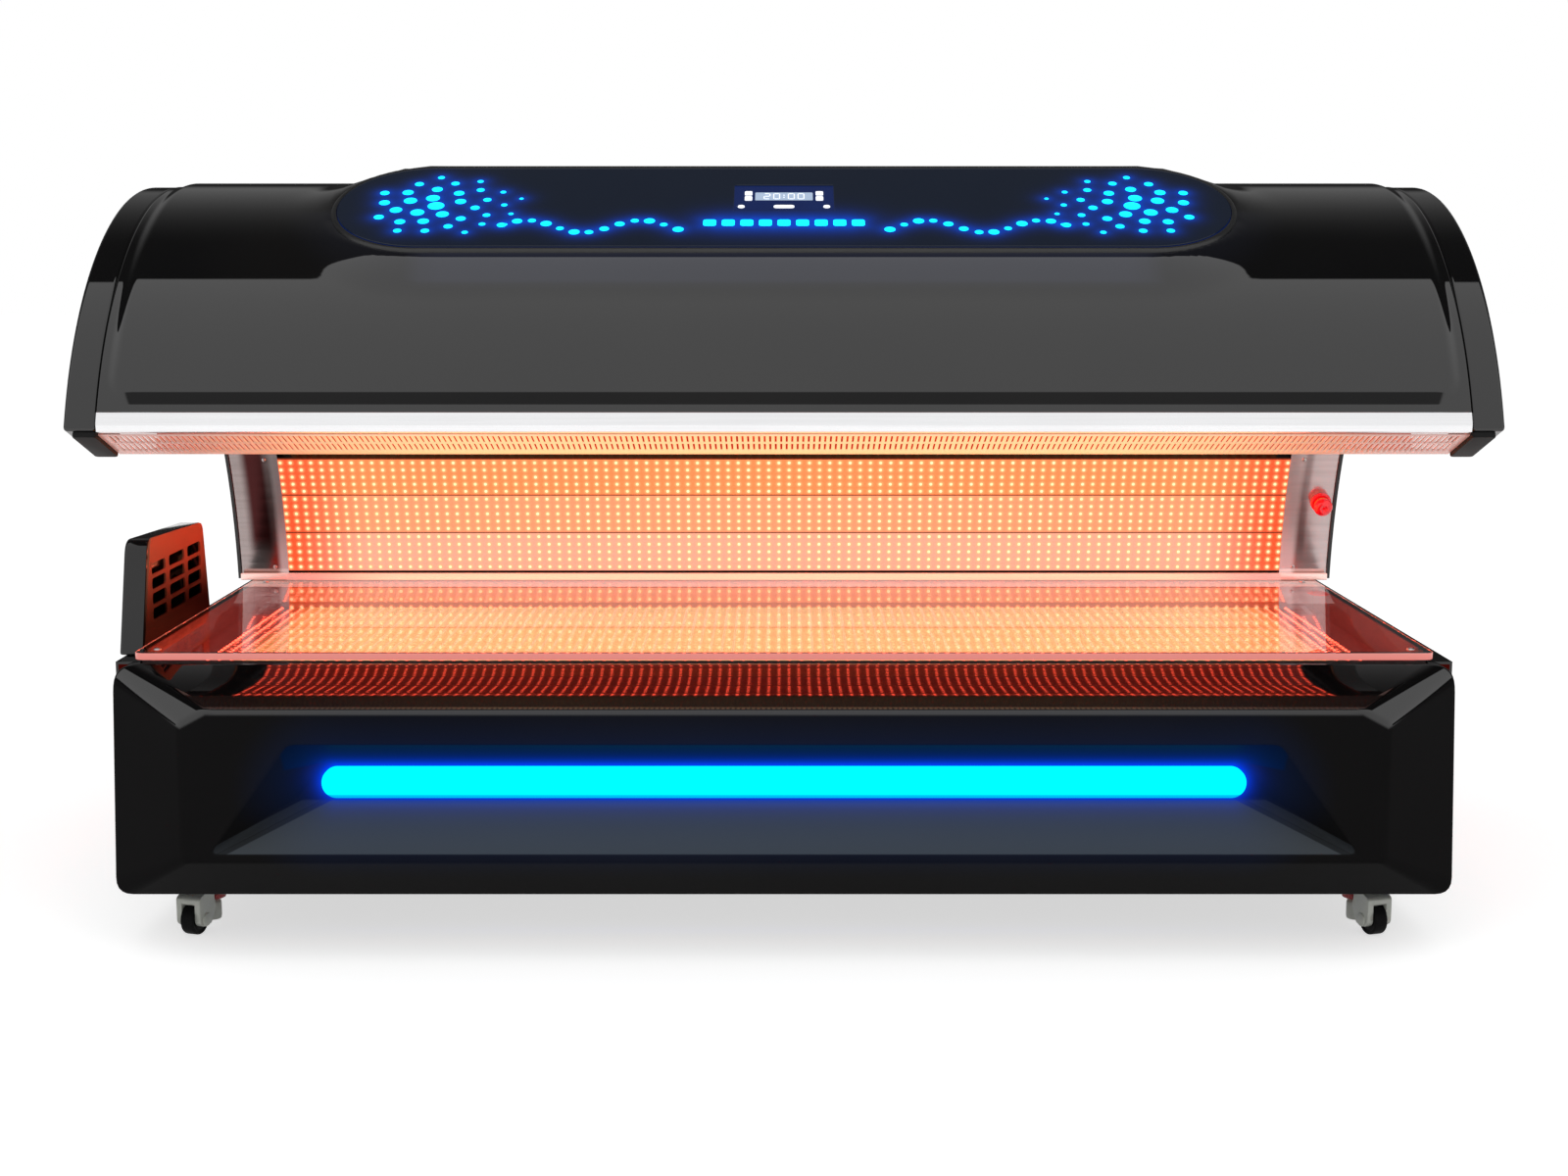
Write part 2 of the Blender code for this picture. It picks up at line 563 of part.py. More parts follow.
blades = []
for k in range(7):
    for a, r in ((0, 0.018), (6, 0.043), (24, 0.043), (34, 0.018)):
        spread = math.radians(k * 360 / 7 + a)
        blades.append((r * math.cos(spread), r * math.sin(spread)))
part(side_plate("tower_fan_rotor", [blades], (-0.006, 0.006)), (0.03, 0.03, 0.03), 0.5,
     at=(fan_x[0] + 0.0147, FAN_Y, FAN_Z))

# Rear wall: curved pan on the base, three lit boards, polished cheeks, lower trim
WALL_LEANS = (7.2, 29.4)  # the wall's foot and head, degrees about the centre of its curve
BOARD_LOW = 8.3           # foot of the lowest board
BOARD_STEP = 6.08         # from one board to the next
wall_centre = WALL_FOOT - WALL_RADIUS * Vector((math.cos(WALL_LEAN), math.sin(WALL_LEAN)))


def on_wall(radius, lean):
    """Point of the wall at a distance from its centre of curve, lean in degrees."""
    a = math.radians(lean)
    return wall_centre + radius * Vector((math.cos(a), math.sin(a)))


def sector(r0, r1, lean0, lean1, steps):
    """Outline between two radii and two leans."""
    leans = [lean0 + (lean1 - lean0) * k / steps for k in range(steps + 1)]
    return [on_wall(r0, a) for a in leans] + [on_wall(r1, a) for a in reversed(leans)]


WALL_BACK = WALL_RADIUS + WALL_DEPTH
well_leans = (WALL_LEANS[0] + 0.25, WALL_LEANS[1] - 1.6)
pan = part(side_plate("rear_wall_pan", [sector(WALL_RADIUS - 0.004, WALL_BACK, *WALL_LEANS, 8)],
                      (-WALL_HALF, WALL_HALF)), BLACK, 0.2)
cut(pan, side_plate("well", [sector(WALL_RADIUS - 0.05, WALL_BACK - 0.003, *well_leans, 8)],
                    (-WALL_HALF + 0.006, WALL_HALF - 0.006)))
SKIRT_HALF = CASTER_X - 0.002
skirt_y = (SKIRT_Y - 0.012, SKIRT_Y - 0.002)
join(pan, box("skirt", (-SKIRT_HALF, SKIRT_HALF), skirt_y, (SKIRT_Z, on_wall(WALL_BACK, 8).y + 0.006)))
for k in range(3):
    low = BOARD_LOW + BOARD_STEP * k
    high = low + BOARD_STEP - 0.07
    strip = [on_wall(WALL_RADIUS, low), on_wall(WALL_RADIUS, high),
             on_wall(WALL_RADIUS + 0.004, high), on_wall(WALL_RADIUS + 0.004, low)]
    part(side_plate("rear_led_board_%d" % (k + 1), [strip], (-LED_HALF, LED_HALF)), (0.5, 0.1, 0.05), 0.5,
         glow=RED_GLOW)
cheek_leans = (well_leans[0] + 0.1, well_leans[1] - 0.1)
cheek_loop = sector(WALL_RADIUS, WALL_RADIUS + 0.0015, *cheek_leans, 10)
cheek_x = (LED_HALF + GAP, WALL_HALF - 0.006 - GAP)
ESTOP_LEAN = 19.3
estop_x = WALL_HALF - 0.029
estop_at = on_wall(WALL_RADIUS - 0.0006, ESTOP_LEAN)
estop_turn = Matrix.Rotation(math.radians(90 + ESTOP_LEAN), 4, 'X')
estop_place = Matrix.Translation((estop_x, *estop_at)) @ estop_turn
for tag, s in SIDES:
    cheek = part(side_plate("rear_cheek_" + tag, [cheek_loop],
                            (s * cheek_x[0], s * cheek_x[1])), (0.62, 0.6, 0.6), 0.18, 1.0)
    if s > 0:
        hole = cut(cheek, turned("stem_hole", [(0, -0.02), (0.0095, -0.02), (0.0095, 0.02), (0, 0.02)], 20))
        hole.matrix_basis = estop_place
part(box("rear_wall_trim", (-LED_HALF, LED_HALF), (SHEET_REAR - 0.014, SHEET_REAR - 0.003),
         (SHEET_TOP + GAP, SHEET_TOP + 0.0125)), (0.8, 0.8, 0.8), 0.25, 1.0)

# Emergency stop on the right cheek: collar, sliding stem with its ring, turning head
estop_spot = (estop_x, *estop_at)
collar_outline = [(0.0090, 0), (0.0190, 0), (0.0190, 0.004), (0.0175, 0.006), (0.0090, 0.006)]
stem_outline = [(0, 0), (0.0085, 0), (0.0085, 0.0125), (0.0150, 0.0125), (0.0150, 0.0165), (0, 0.0165)]
head_outline = [(0, 0.0169), (0.0150, 0.0169), (0.0172, 0.0210), (0.0165, 0.0265), (0.0120, 0.0300),
                (0, 0.0310)]
part(turned("estop_collar", collar_outline, 28), (0.55, 0.02, 0.02), 0.3, at=estop_spot, turn=estop_turn)
part(turned("estop_stem", stem_outline, 24), (0.85, 0.45, 0.04), 0.35, at=estop_spot, turn=estop_turn)
part(turned("estop_head", head_outline, 28), (0.70, 0.02, 0.02), 0.3, at=estop_spot, turn=estop_turn)

# Hinge brackets on the floor plate, each with its pin
PIN_R = 0.010
for tag, s in SIDES:
    outer = (s * (RIB_X + 0.010), s * (RIB_X + 0.016))
    bracket = part(box("hinge_bracket_" + tag, outer, (HINGE_Y - 0.03, HINGE_Y + 0.03),
                       (FLOOR_Z + GAP, HINGE_Z + 0.03)), STEEL, 0.4, 0.8)
    join(bracket, box("sole", (s * (RIB_X - 0.02), s * (RIB_X + 0.0155)), (HINGE_Y - 0.029, HINGE_Y + 0.029),
                      (FLOOR_Z + GAP + 0.0002, FLOOR_Z + 0.006)))
    join(bracket, rod("pin", (s * (RIB_X - 0.007), HINGE_Y, HINGE_Z),
                      (s * (RIB_X + 0.013), HINGE_Y, HINGE_Z), PIN_R, 24))

# Gas springs: upright cylinders on the floor plate, rods that lift the hinge arms
spring_y = HINGE_Y - ROD_ARM
ROD_X = RIB_X - 0.030
CYL_TOP = HINGE_Z - 0.100
CYL_LOW = FLOOR_Z + GAP
for tag, s in SIDES:
    cylinder = [(0, CYL_LOW), (0.018, CYL_LOW), (0.018, CYL_LOW + 0.006), (0.011, CYL_LOW + 0.010),
                (0.011, CYL_TOP), (0.0062, CYL_TOP), (0.0062, CYL_LOW + 0.016), (0, CYL_LOW + 0.016)]
    spring_at = (s * ROD_X, spring_y, 0)
    part(turned("gas_cylinder_" + tag, cylinder, 20), (0.03, 0.03, 0.03), 0.35, 0.4, at=spring_at)
    stem = part(rod("gas_rod_" + tag, (0, 0, CYL_TOP - 0.085), (0, 0, HINGE_Z), 0.005, 16),
                (0.8, 0.8, 0.8), 0.15, 1.0, at=spring_at)
    join(stem, rod("eye", (-0.0065, 0, HINGE_Z), (0.0065, 0, HINGE_Z), 0.011, 16))

# Canopy outline with the canopy shut: two curves meeting at the top
rim = Vector((FRONT_Y, RIM_Z))
crown = Vector((FRONT_Y + 0.557 * CLOSED_DEPTH, TOP_Z))
tail = Vector((CANOPY_REAR, REAR_Z))
rise = TOP_Z - RIM_Z
rim_pull = rim + Vector((0, 0.51 * rise))
front_pull = crown - Vector((0.33 * CLOSED_DEPTH, 0))
back_pull = crown + Vector((0.26 * CLOSED_DEPTH, 0))
tail_pull = tail + Vector((0, 0.34 * rise))
outer_path = bezier(rim, rim_pull, front_pull, crown, 16)
outer_path += bezier(crown, back_pull, tail_pull, tail, 10)[1:]

# Canopy lining: straight lit boards set round an oval
BOARDS = 3
FACETS = 2                # flats in each bent board
BOARD_T = 0.004
foot_y = FRONT_Y + RIM_LEG
OVAL = 0.316              # half width of the oval
oval_y = foot_y + OVAL
boards_path = []
for k in range(BOARDS * FACETS + 1):
    a = math.radians(180 - 133 * k / (BOARDS * FACETS))
    boards_path.append(Vector((oval_y + OVAL * math.cos(a), RIM_Z + (ROOF_Z - RIM_Z) * math.sin(a))))
boards_back = offset(boards_path, BOARD_T)
BOARD_HALF = SHEET_HALF - 0.008
for k in range(BOARDS):
    near = boards_path[k * FACETS:(k + 1) * FACETS + 1]
    far = boards_back[k * FACETS:(k + 1) * FACETS + 1]
    for path in (near, far):
        path[0] = path[0] + (path[1] - path[0]).normalized() * GAP
        path[-1] = path[-1] + (path[-2] - path[-1]).normalized() * GAP
    part(side_plate("canopy_led_board_%d" % (k + 1), [near + far[::-1]], (-BOARD_HALF, BOARD_HALF)),
         (0.5, 0.1, 0.05), 0.5, glow=RED_GLOW, on_canopy=True)

# Control panel frame on the shell: its plane, with the canopy shut
tilt = math.radians(POD_TILT)
slope = Vector((math.cos(tilt), math.sin(tilt)))
normal = Vector((-math.sin(tilt), math.cos(tilt)))
pod_middle = outer_path[8] + normal * 0.017 + slope * 0.014
pod_place = Matrix(((1, 0, 0, 0), (0, slope.x, normal.x, pod_middle.x),
                    (0, slope.y, normal.y, pod_middle.y), (0, 0, 0, 1)))


def ease(t):
    """Smooth step from 0 to 1."""
    t = min(max(t, 0), 1)
    return t * t * (3 - 2 * t)


def shell_raise(x, spot, along):
    """How far the shell stands off its plain outline: the raised field and the panel's shoulder."""
    field = ease((SHELL_HALF - 0.016 - abs(x)) / 0.030)
    field *= ease((along - 0.044) / 0.020) * ease((0.93 - along) / 0.05)
    rel = spot - pod_middle
    across = rel.dot(slope)
    under = -rel.dot(normal)
    half = POD_WIDTH / 2
    away = math.hypot(max(abs(x) - (POD_LENGTH / 2 - half), 0), across) - half
    shoulder = max(under - 0.014 - PANEL_RAISE, 0) * (1 - ease(away / 0.075))
    return PANEL_RAISE * field + (shoulder if away > -0.12 else 0)


# Canopy shell: formed sheet with a raised field, opened for the control panel
path_lengths = [0.0]
for a, b in zip(outer_path, outer_path[1:]):
    path_lengths.append(path_lengths[-1] + (b - a).length)
path_normals = [m - p for m, p in zip(offset(outer_path, 1.0), outer_path)]


def along_path(share):
    """Point and outward normal at a share of the outline's length."""
    goal = share * path_lengths[-1]
    k = 0
    while k < len(outer_path) - 2 and path_lengths[k + 1] < goal:
        k += 1
    f = (goal - path_lengths[k]) / (path_lengths[k + 1] - path_lengths[k])
    spot = outer_path[k].lerp(outer_path[k + 1], f)
    return spot, path_normals[k].lerp(path_normals[k + 1], f).normalized()


def spread(stops, t):
    """Value at t from 0 to 1 along evenly numbered stops."""
    place = t * (len(stops) - 1)
    k = min(int(place), len(stops) - 2)
    return stops[k] + (stops[k + 1] - stops[k]) * (place - k)


TRIM_SHARE = (TRIM_H + 0.0005) / path_lengths[-1]
half_stops = [0, 0.30, 0.58, 0.66, 0.73, 0.79, 0.86]
half_stops += [SHELL_HALF - 0.046, SHELL_HALF - 0.034, SHELL_HALF - 0.016, SHELL_HALF]
x_stops = [-x for x in reversed(half_stops[1:])] + half_stops
share_stops = [TRIM_SHARE, 0.044, 0.064, 0.10, 0.14, 0.18, 0.205, 0.23, 0.26, 0.30, 0.34, 0.38, 0.41,
               0.44, 0.47, 0.50, 0.54, 0.58, 0.63, 0.68, 0.73, 0.78, 0.83, 0.87, 0.90, 0.93, 0.955,
               0.98, 1.0]
bm = bmesh.new()
bmesh.ops.create_grid(bm, x_segments=len(x_stops) - 1, y_segments=len(share_stops) - 1, size=0.5)
for vert in bm.verts:
    x = spread(x_stops, vert.co.x + 0.5)
    share = spread(share_stops, vert.co.y + 0.5)
    spot, face_out = along_path(share)
    spot = spot + face_out * shell_raise(x, spot, share)
    vert.co = (x, spot.x, spot.y)
shell_mesh = bpy.data.meshes.new("canopy_shell")
bm.to_mesh(shell_mesh)
bm.free()
shell = part(shell_mesh, BLACK, 0.10, on_canopy=True)
thick = shell.modifiers.new("thick", 'SOLIDIFY')
thick.thickness = WALL
thick.offset = -1
thick.use_even_offset = True
pod_loop = rounded(-POD_LENGTH / 2, POD_LENGTH / 2, -POD_WIDTH / 2, POD_WIDTH / 2,
                   POD_WIDTH / 2 - 0.001, 10)
hole_loop = rounded(-POD_LENGTH / 2 - 0.0008, POD_LENGTH / 2 + 0.0008, -POD_WIDTH / 2 - 0.0008,
                    POD_WIDTH / 2 + 0.0008, POD_WIDTH / 2 - 0.0002, 10)
cut(shell, plate("pod_hole", [hole_loop], 0.16, pod_place))

# Trim along the front rim, the slotted rim plate, and the plate that closes the rear underneath
inner_face = offset(outer_path, -WALL - 0.003)
trim_loop = [(FRONT_Y - 0.003, RIM_Z + 0.004), (FRONT_Y - 0.004, RIM_Z + 0.010),
             (FRONT_Y - 0.004, RIM_Z + 0.020), (FRONT_Y - 0.002, RIM_Z + TRIM_H),
             (FRONT_Y + 0.012, RIM_Z + TRIM_H), (FRONT_Y + 0.012, RIM_Z - 0.002),
             (FRONT_Y + 0.001, RIM_Z - 0.002)]
part(side_plate("canopy_trim", [trim_loop], (-SHELL_HALF, SHELL_HALF)), (0.85, 0.85, 0.86), 0.2, 1.0,
     on_canopy=True)
rim_y = (FRONT_Y + 0.012 + GAP, foot_y - GAP)
rim_loop = [(-SHELL_HALF, rim_y[0]), (SHELL_HALF, rim_y[0]), (SHELL_HALF, rim_y[1]), (-SHELL_HALF, rim_y[1])]
part(plate("canopy_rim_plate", [rim_loop], 0.002, Matrix.Translation((0, 0, RIM_Z - 0.001 - GAP))),
     (0.6, 0.35, 0.3), 0.3, 0.5, on_canopy=True)
under_a = boards_path[-1] + Vector((0.004, 0.006))
under_b = tail + Vector((-WALL - 0.001, 0.002))
under_out = (under_b - under_a).normalized()
under_up = Vector((-under_out.y, under_out.x)) * 0.003
UNDER_HALF = RIB_X - 0.006
part(side_plate("canopy_under_plate", [[under_a, under_b, under_b + under_up, under_a + under_up]],
                (-UNDER_HALF, UNDER_HALF)), (0.03, 0.03, 0.03), 0.4, on_canopy=True)

# Ribs: steel arches between shell and lining, each with an arm to the hinge and a lug for the gas spring
arch_out = [p for p in inner_face if p.y > RIM_Z + TRIM_H + 0.004]
arch_in = offset(boards_path, BOARD_T + GAP)
arch_in = [p for p in arch_in if p.y > RIM_Z + TRIM_H + 0.004]
shut = Matrix.Rotation(math.radians(OPEN_DEG), 2)
lug_end = Vector((HINGE_Y, HINGE_Z)) + shut @ Vector((-ROD_ARM, 0))
hub = Vector((HINGE_Y, HINGE_Z))
arm_top = REAR_Z + 0.09
for tag, s in SIDES:
    xs = (s * (RIB_X - 0.004), s * (RIB_X + 0.004))
    steel = part(side_plate("canopy_rib_" + tag, [arch_out + list(reversed(arch_in))], xs), STEEL, 0.4, 0.8,
                 on_canopy=True)
    arm = [(hub.x - 0.024, hub.y), (hub.x + 0.024, hub.y), (hub.x + 0.075, arm_top),
           (hub.x - 0.075, arm_top)]
    near = (s * (RIB_X - 0.0039), s * (RIB_X + 0.0039))
    join(steel, side_plate("arm", [arm], near))
    join(steel, rod("hub", (near[0], *hub), (near[1], *hub), 0.030, 24))
    lug = (lug_end - hub).normalized()
    lug_side = Vector((-lug.y, lug.x)) * 0.015
    lug_x = (s * (RIB_X - 0.0037), s * (RIB_X + 0.0037))
    lug_loop = [hub + lug_side, lug_end + lug_side, lug_end - lug_side, hub - lug_side]
    join(steel, side_plate("lug", [lug_loop], lug_x))
    join(steel, rod("lug_end", (lug_x[0], *lug_end), (lug_x[1], *lug_end), 0.0165, 16))
    join(steel, rod("stud", (s * (RIB_X - 0.0231), *lug_end), (s * RIB_X, *lug_end), 0.005, 12))
    cut(steel, rod("bore", (s * (RIB_X - 0.02), *hub), (s * (RIB_X + 0.02), *hub), PIN_R + 0.0005, 24))

# End caps: thick arches closing the shell, open in the middle so the tunnel runs through
cap_out = offset(outer_path, 0.003)
cap_in = offset(boards_path, 0.002)
cap_foot = [Vector((cap_out[0].x, RIM_Z - 0.002)), Vector((foot_y - 0.002, RIM_Z - 0.002))]
cap_loop = [cap_foot[0]] + cap_out + [tail + Vector((-0.06, 0.0)), under_a + Vector((0.05, 0.03))]
cap_loop += list(reversed(cap_in[1:])) + [cap_foot[1]]
for tag, s in SIDES:
    part(side_plate("canopy_end_cap_" + tag, [cap_loop], (s * (SHELL_HALF + GAP), s * LENGTH / 2)),
         BLACK, 0.10, on_canopy=True)

# Control panel: hollow housing let into the shell, glossy front, screen and three keys
POD_DEPTH = 0.050
LENS_T = 0.003
LENS_IN = 0.010


def pod_level(low, high):
    """Place for a plate lying between two heights over the panel's face."""
    return pod_place @ Matrix.Translation((0, 0, (low + high) / 2))


def pod_inset(inset):
    """Panel outline drawn in by inset."""
    half_l = POD_LENGTH / 2 - inset
    half_w = POD_WIDTH / 2 - inset
    return rounded(-half_l, half_l, -half_w, half_w, half_w - 0.001, 10)


SCREEN = (0.095, 0.030)
screen_v = 0.039
key_spots = (("start_key", 0.0, 0.034, 0.011), ("key_left", -0.070, 0.011, 0.011),
             ("key_right", 0.070, 0.011, 0.011))


def key_loop(u, wide, tall, grow):
    """Outline of a key, or of its hole when grown."""
    return rounded(u - wide / 2 - grow, u + wide / 2 + grow, -tall / 2 - grow, tall / 2 + grow,
                   tall / 2 + grow - 0.0004, 4)


housing = part(plate("control_housing", [pod_loop], POD_DEPTH, pod_level(-POD_DEPTH, 0)),
               (0.02, 0.02, 0.02), 0.15, on_canopy=True)
cut(housing, plate("rear_space", [pod_inset(0.006)], 0.05, pod_level(-0.058, -0.008)))
cut(housing, plate("lens_seat", [pod_inset(LENS_IN)], 0.02, pod_level(-LENS_T, 0.017)))
holes = [key_loop(u, wide, tall, 0.0005) for _, u, wide, tall in key_spots]
for k, hole in enumerate(holes):
    cut(housing, plate("key_hole_%d" % k, [hole], 0.03, pod_level(-0.020, 0.010)))
screen_hole = rounded(-SCREEN[0] / 2 - GAP, SCREEN[0] / 2 + GAP, screen_v - SCREEN[1] / 2 - GAP,
                      screen_v + SCREEN[1] / 2 + GAP, 0.002, 2)
part(plate("control_lens", [pod_inset(LENS_IN + GAP), screen_hole] + holes, LENS_T - GAP,
           pod_level(-LENS_T + GAP, 0)), (0.015, 0.015, 0.017), 0.05, on_canopy=True)
part(plate("control_screen", [rounded(-SCREEN[0] / 2, SCREEN[0] / 2, screen_v - SCREEN[1] / 2,
                                      screen_v + SCREEN[1] / 2, 0.002, 2)], LENS_T - 2 * GAP,
           pod_level(-LENS_T + GAP, -GAP)), (0.02, 0.03, 0.05), 0.1, glow=(0.2, 0.7, 0.9), on_canopy=True)
for name, u, wide, tall in key_spots:
    part(plate(name, [key_loop(u, wide, tall, 0)], 0.007, pod_level(-0.0065, 0.0005)),
         (0.03, 0.03, 0.035), 0.2, glow=(0, 0.35, 0.4), on_canopy=True)

# The floor area at rest runs from the front face to the rear of the open canopy
open_turn = Matrix.Rotation(-math.radians(OPEN_DEG), 2)
reach = max((open_turn @ (p - hub) + hub).x for p in cap_out)
root.location = (0, (PLATEAU - reach) / 2, 0)
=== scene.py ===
# Red light therapy bed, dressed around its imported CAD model.
# Metres, +Z up, +X along the bed, -Y towards the person who opens it.
import math

import bpy
import numpy as np
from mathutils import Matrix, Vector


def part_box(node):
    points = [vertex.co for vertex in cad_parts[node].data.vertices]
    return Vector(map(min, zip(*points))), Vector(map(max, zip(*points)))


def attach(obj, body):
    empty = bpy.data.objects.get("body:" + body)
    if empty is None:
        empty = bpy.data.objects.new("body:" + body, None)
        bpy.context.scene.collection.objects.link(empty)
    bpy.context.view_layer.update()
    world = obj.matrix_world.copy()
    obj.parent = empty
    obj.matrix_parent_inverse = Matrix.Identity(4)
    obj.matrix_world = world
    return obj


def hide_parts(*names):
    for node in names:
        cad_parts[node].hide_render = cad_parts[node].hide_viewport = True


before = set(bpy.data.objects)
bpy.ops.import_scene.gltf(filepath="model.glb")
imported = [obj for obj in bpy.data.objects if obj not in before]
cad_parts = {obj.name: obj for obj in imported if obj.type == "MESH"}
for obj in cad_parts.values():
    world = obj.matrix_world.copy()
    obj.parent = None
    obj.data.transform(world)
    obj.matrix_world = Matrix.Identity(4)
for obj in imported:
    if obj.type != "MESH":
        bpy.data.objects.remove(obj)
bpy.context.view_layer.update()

# Base frame: floor plate, rails and posts of welded steel under black powder coat.
# The plate under the canopy and the cylinders of the gas springs are coated the same way.


class Wire:
    """One socket of a finish. Signs of arithmetic add Math nodes, and node() adds any other node."""

    def __init__(self, tree, socket=None):
        self.tree = tree
        self.socket = socket

    def node(self, kind, settings=None, sockets=None, out=0):
        """Adds a node: its settings first, then the values or links of its sockets."""
        made = self.tree.nodes.new("ShaderNode" + kind)
        for name, value in (settings or {}).items():
            setattr(made, name, value)
        for name, value in (sockets or {}).items():
            self.feed(value, made.inputs[name])
        return Wire(self.tree, made.outputs[out])

    def feed(self, value, socket):
        """Links a wire to a socket, or puts a value on it. Colours come without their alpha of 1."""
        if isinstance(value, Wire):
            self.tree.links.new(value.socket, socket)
        else:
            socket.default_value = (*value, 1) if socket.type == 'RGBA' else value

    def math(self, operation, second=0.0):
        """A Math node on this value and a second one."""
        return self.node("Math", {"operation": operation}, {0: self, 1: second})

    def __add__(self, other):
        return self.math("ADD", other)

    def __sub__(self, other):
        return self.math("SUBTRACT", other)

    def __rsub__(self, other):
        return self.node("Math", {"operation": "SUBTRACT"}, {0: other, 1: self})

    def __mul__(self, other):
        return self.math("MULTIPLY", other)

    def __truediv__(self, other):
        return self.math("DIVIDE", other)

    def __abs__(self):
        return self.math("ABSOLUTE")

    __radd__ = __add__
    __rmul__ = __mul__

    def rise(self, low, high):
        """0 below low, 1 above high, eased between them."""
        return self.node("MapRange", {"interpolation_type": 'SMOOTHSTEP'},
                         {"Value": self, "From Min": low, "From Max": high})

    def band(self, start, stop):
        """1 between start and stop and 0 outside; each is a pair of limits that its edge eases over."""
        return self.rise(*start) * (1 - self.rise(*stop))

    def mix(self, low, high):
        """Colour between two colours, by this value."""
        return self.node("Mix", {"data_type": 'RGBA'}, {0: self, 6: low, 7: high}, 2)

    def axes(self):
        """The three numbers of this vector."""
        split = self.node("SeparateXYZ", None, {0: self}).socket.node
        return [Wire(self.tree, split.outputs[k]) for k in range(3)]

    def noise(self, scale, detail=3.0, stretch=(1, 1, 1)):
        """Noise over this vector, drawn out where stretch is small."""
        drawn = self.node("Mapping", None, {"Vector": self, "Scale": stretch})
        return self.node("TexNoise", None, {"Vector": drawn, "Scale": scale, "Detail": detail})

    def bump(self, strength, distance=0.001):
        """Normal from this height."""
        return self.node("Bump", None, {"Strength": strength, "Distance": distance, "Height": self})


def finish(name, look, **fixed):
    """A material: look(place) gives what varies, and fixed values go on the shader's own sockets, named
    with _ for a space. What glows has the strength 1 unless another is fixed."""
    material = bpy.data.materials.new(name)
    material.use_nodes = True
    tree = material.node_tree
    inputs = tree.nodes["Principled BSDF"].inputs
    wire = Wire(tree)
    values = look(wire.node("TexCoord", None, None, "Object"))
    if "Emission Color" in values:
        inputs["Emission Strength"].default_value = 1.0
    values.update({socket.replace("_", " "): value for socket, value in fixed.items()})
    for socket, value in values.items():
        wire.feed(value, inputs[socket])
    return material


def speckled(colour, other, rough, spread, scale, bump):
    """Look of a coated, moulded or cast skin: two close colours, uneven gloss and a fine grain."""
    def look(place):
        fine = place.noise(scale, 4)
        broad = place.noise(scale / 45, 3)
        return {"Base Color": (fine * 0.55 + broad * 0.45).rise(0.35, 0.7).mix(colour, other),
                "Roughness": broad * spread + (rough - spread / 2),
                "Normal": fine.bump(bump)}
    return look


def dress(material, *nodes):
    """Puts a finish on CAD nodes whose shape is already right."""
    for name in nodes:
        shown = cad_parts[name]
        if not shown.material_slots:
            shown.data.materials.append(material)
        shown.material_slots[0].material = material


powder = finish("powder_coat", speckled((0.022, 0.022, 0.023), (0.045, 0.044, 0.043), 0.46, 0.2, 900, 0.25),
                IOR=1.45)
dress(powder, "base_frame", "gas_cylinder_left", "gas_cylinder_right", "canopy_under_plate")

# Levelling casters: a cast alloy housing on a swivel, with a nylon wheel between its cheeks
# and, in the bell behind it, a screw foot with a red ridged thumb wheel and a bell shaped pad.
WHEEL_R = 0.025
WHEEL_HALF = 0.011
HUB_IN = 0.0012
TRAIL = 0.052
SLOT_R = 0.0276
HOOD_HALF = 0.0122
BELL_LOW = 0.058
BELL_TOP = 0.0896
SWIVEL_X = 0.915
CASTER_YAW = math.radians(18)
RIDGES = 24
RIDGE_DEEP = 0.0005
SIDES = (("left", -1), ("right", 1))


def rows_of_quads(rows, cols, round_rows=False, round_cols=False):
    """Quads of a grid of points counted along its rows; round grids join last to first."""
    i, j = np.meshgrid(np.arange(rows - (not round_rows)), np.arange(cols - (not round_cols)),
                       indexing="ij")
    k = (i + 1) % rows
    m = (j + 1) % cols
    return np.stack((i * cols + j, i * cols + m, k * cols + m, k * cols + j), -1).reshape(-1, 4)


def loft(rings, hollow=False):
    """Points and faces through closed rings in order, joined last to first if hollow, else capped."""
    rings = np.asarray(rings, float)
    rows, cols = rings.shape[:2]
    faces = [rows_of_quads(rows, cols, hollow, True)]
    if not hollow:
        faces += [np.arange(cols)[None, ::-1], np.arange((rows - 1) * cols, rows * cols)[None]]
    return rings.reshape(-1, 3), faces


def outward(points, faces):
    """The faces, turned round if the volume they close counts as negative."""
    volume = 0.0
    for block in faces:
        corner = points[block]
        for k in range(1, block.shape[1] - 1):
            wedge = np.cross(corner[:, k], corner[:, k + 1])
            volume += np.einsum("ij,ij->", corner[:, 0], wedge)
    return [block[:, ::-1] for block in faces] if volume < 0 else list(faces)


def gathered(*solids):
    """Several sets of points and faces as one."""
    faces = []
    start = 0
    for points, solid_faces in solids:
        faces += [block + start for block in outward(points, solid_faces)]
        start += len(points)
    return np.concatenate([points for points, _ in solids]), faces


def piece(name, solid, material, body, replaces=(), crease=32, turned_right=False):
    """Named piece from points and faces, smooth up to the crease angle, riding on a body."""
    points, faces = solid
    if not turned_right:
        faces = outward(points, faces)
    mesh = bpy.data.meshes.new(name)
    mesh.from_pydata(points, [], [face for block in faces for face in block.tolist()], False)
    mesh.validate()
    mesh.set_sharp_from_angle(angle=math.radians(crease))
    mesh.materials.append(material)
    made = bpy.data.objects.new(name, mesh)
    bpy.context.scene.collection.objects.link(made)
    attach(made, body)
    if replaces:
        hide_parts(*replaces)
    return made


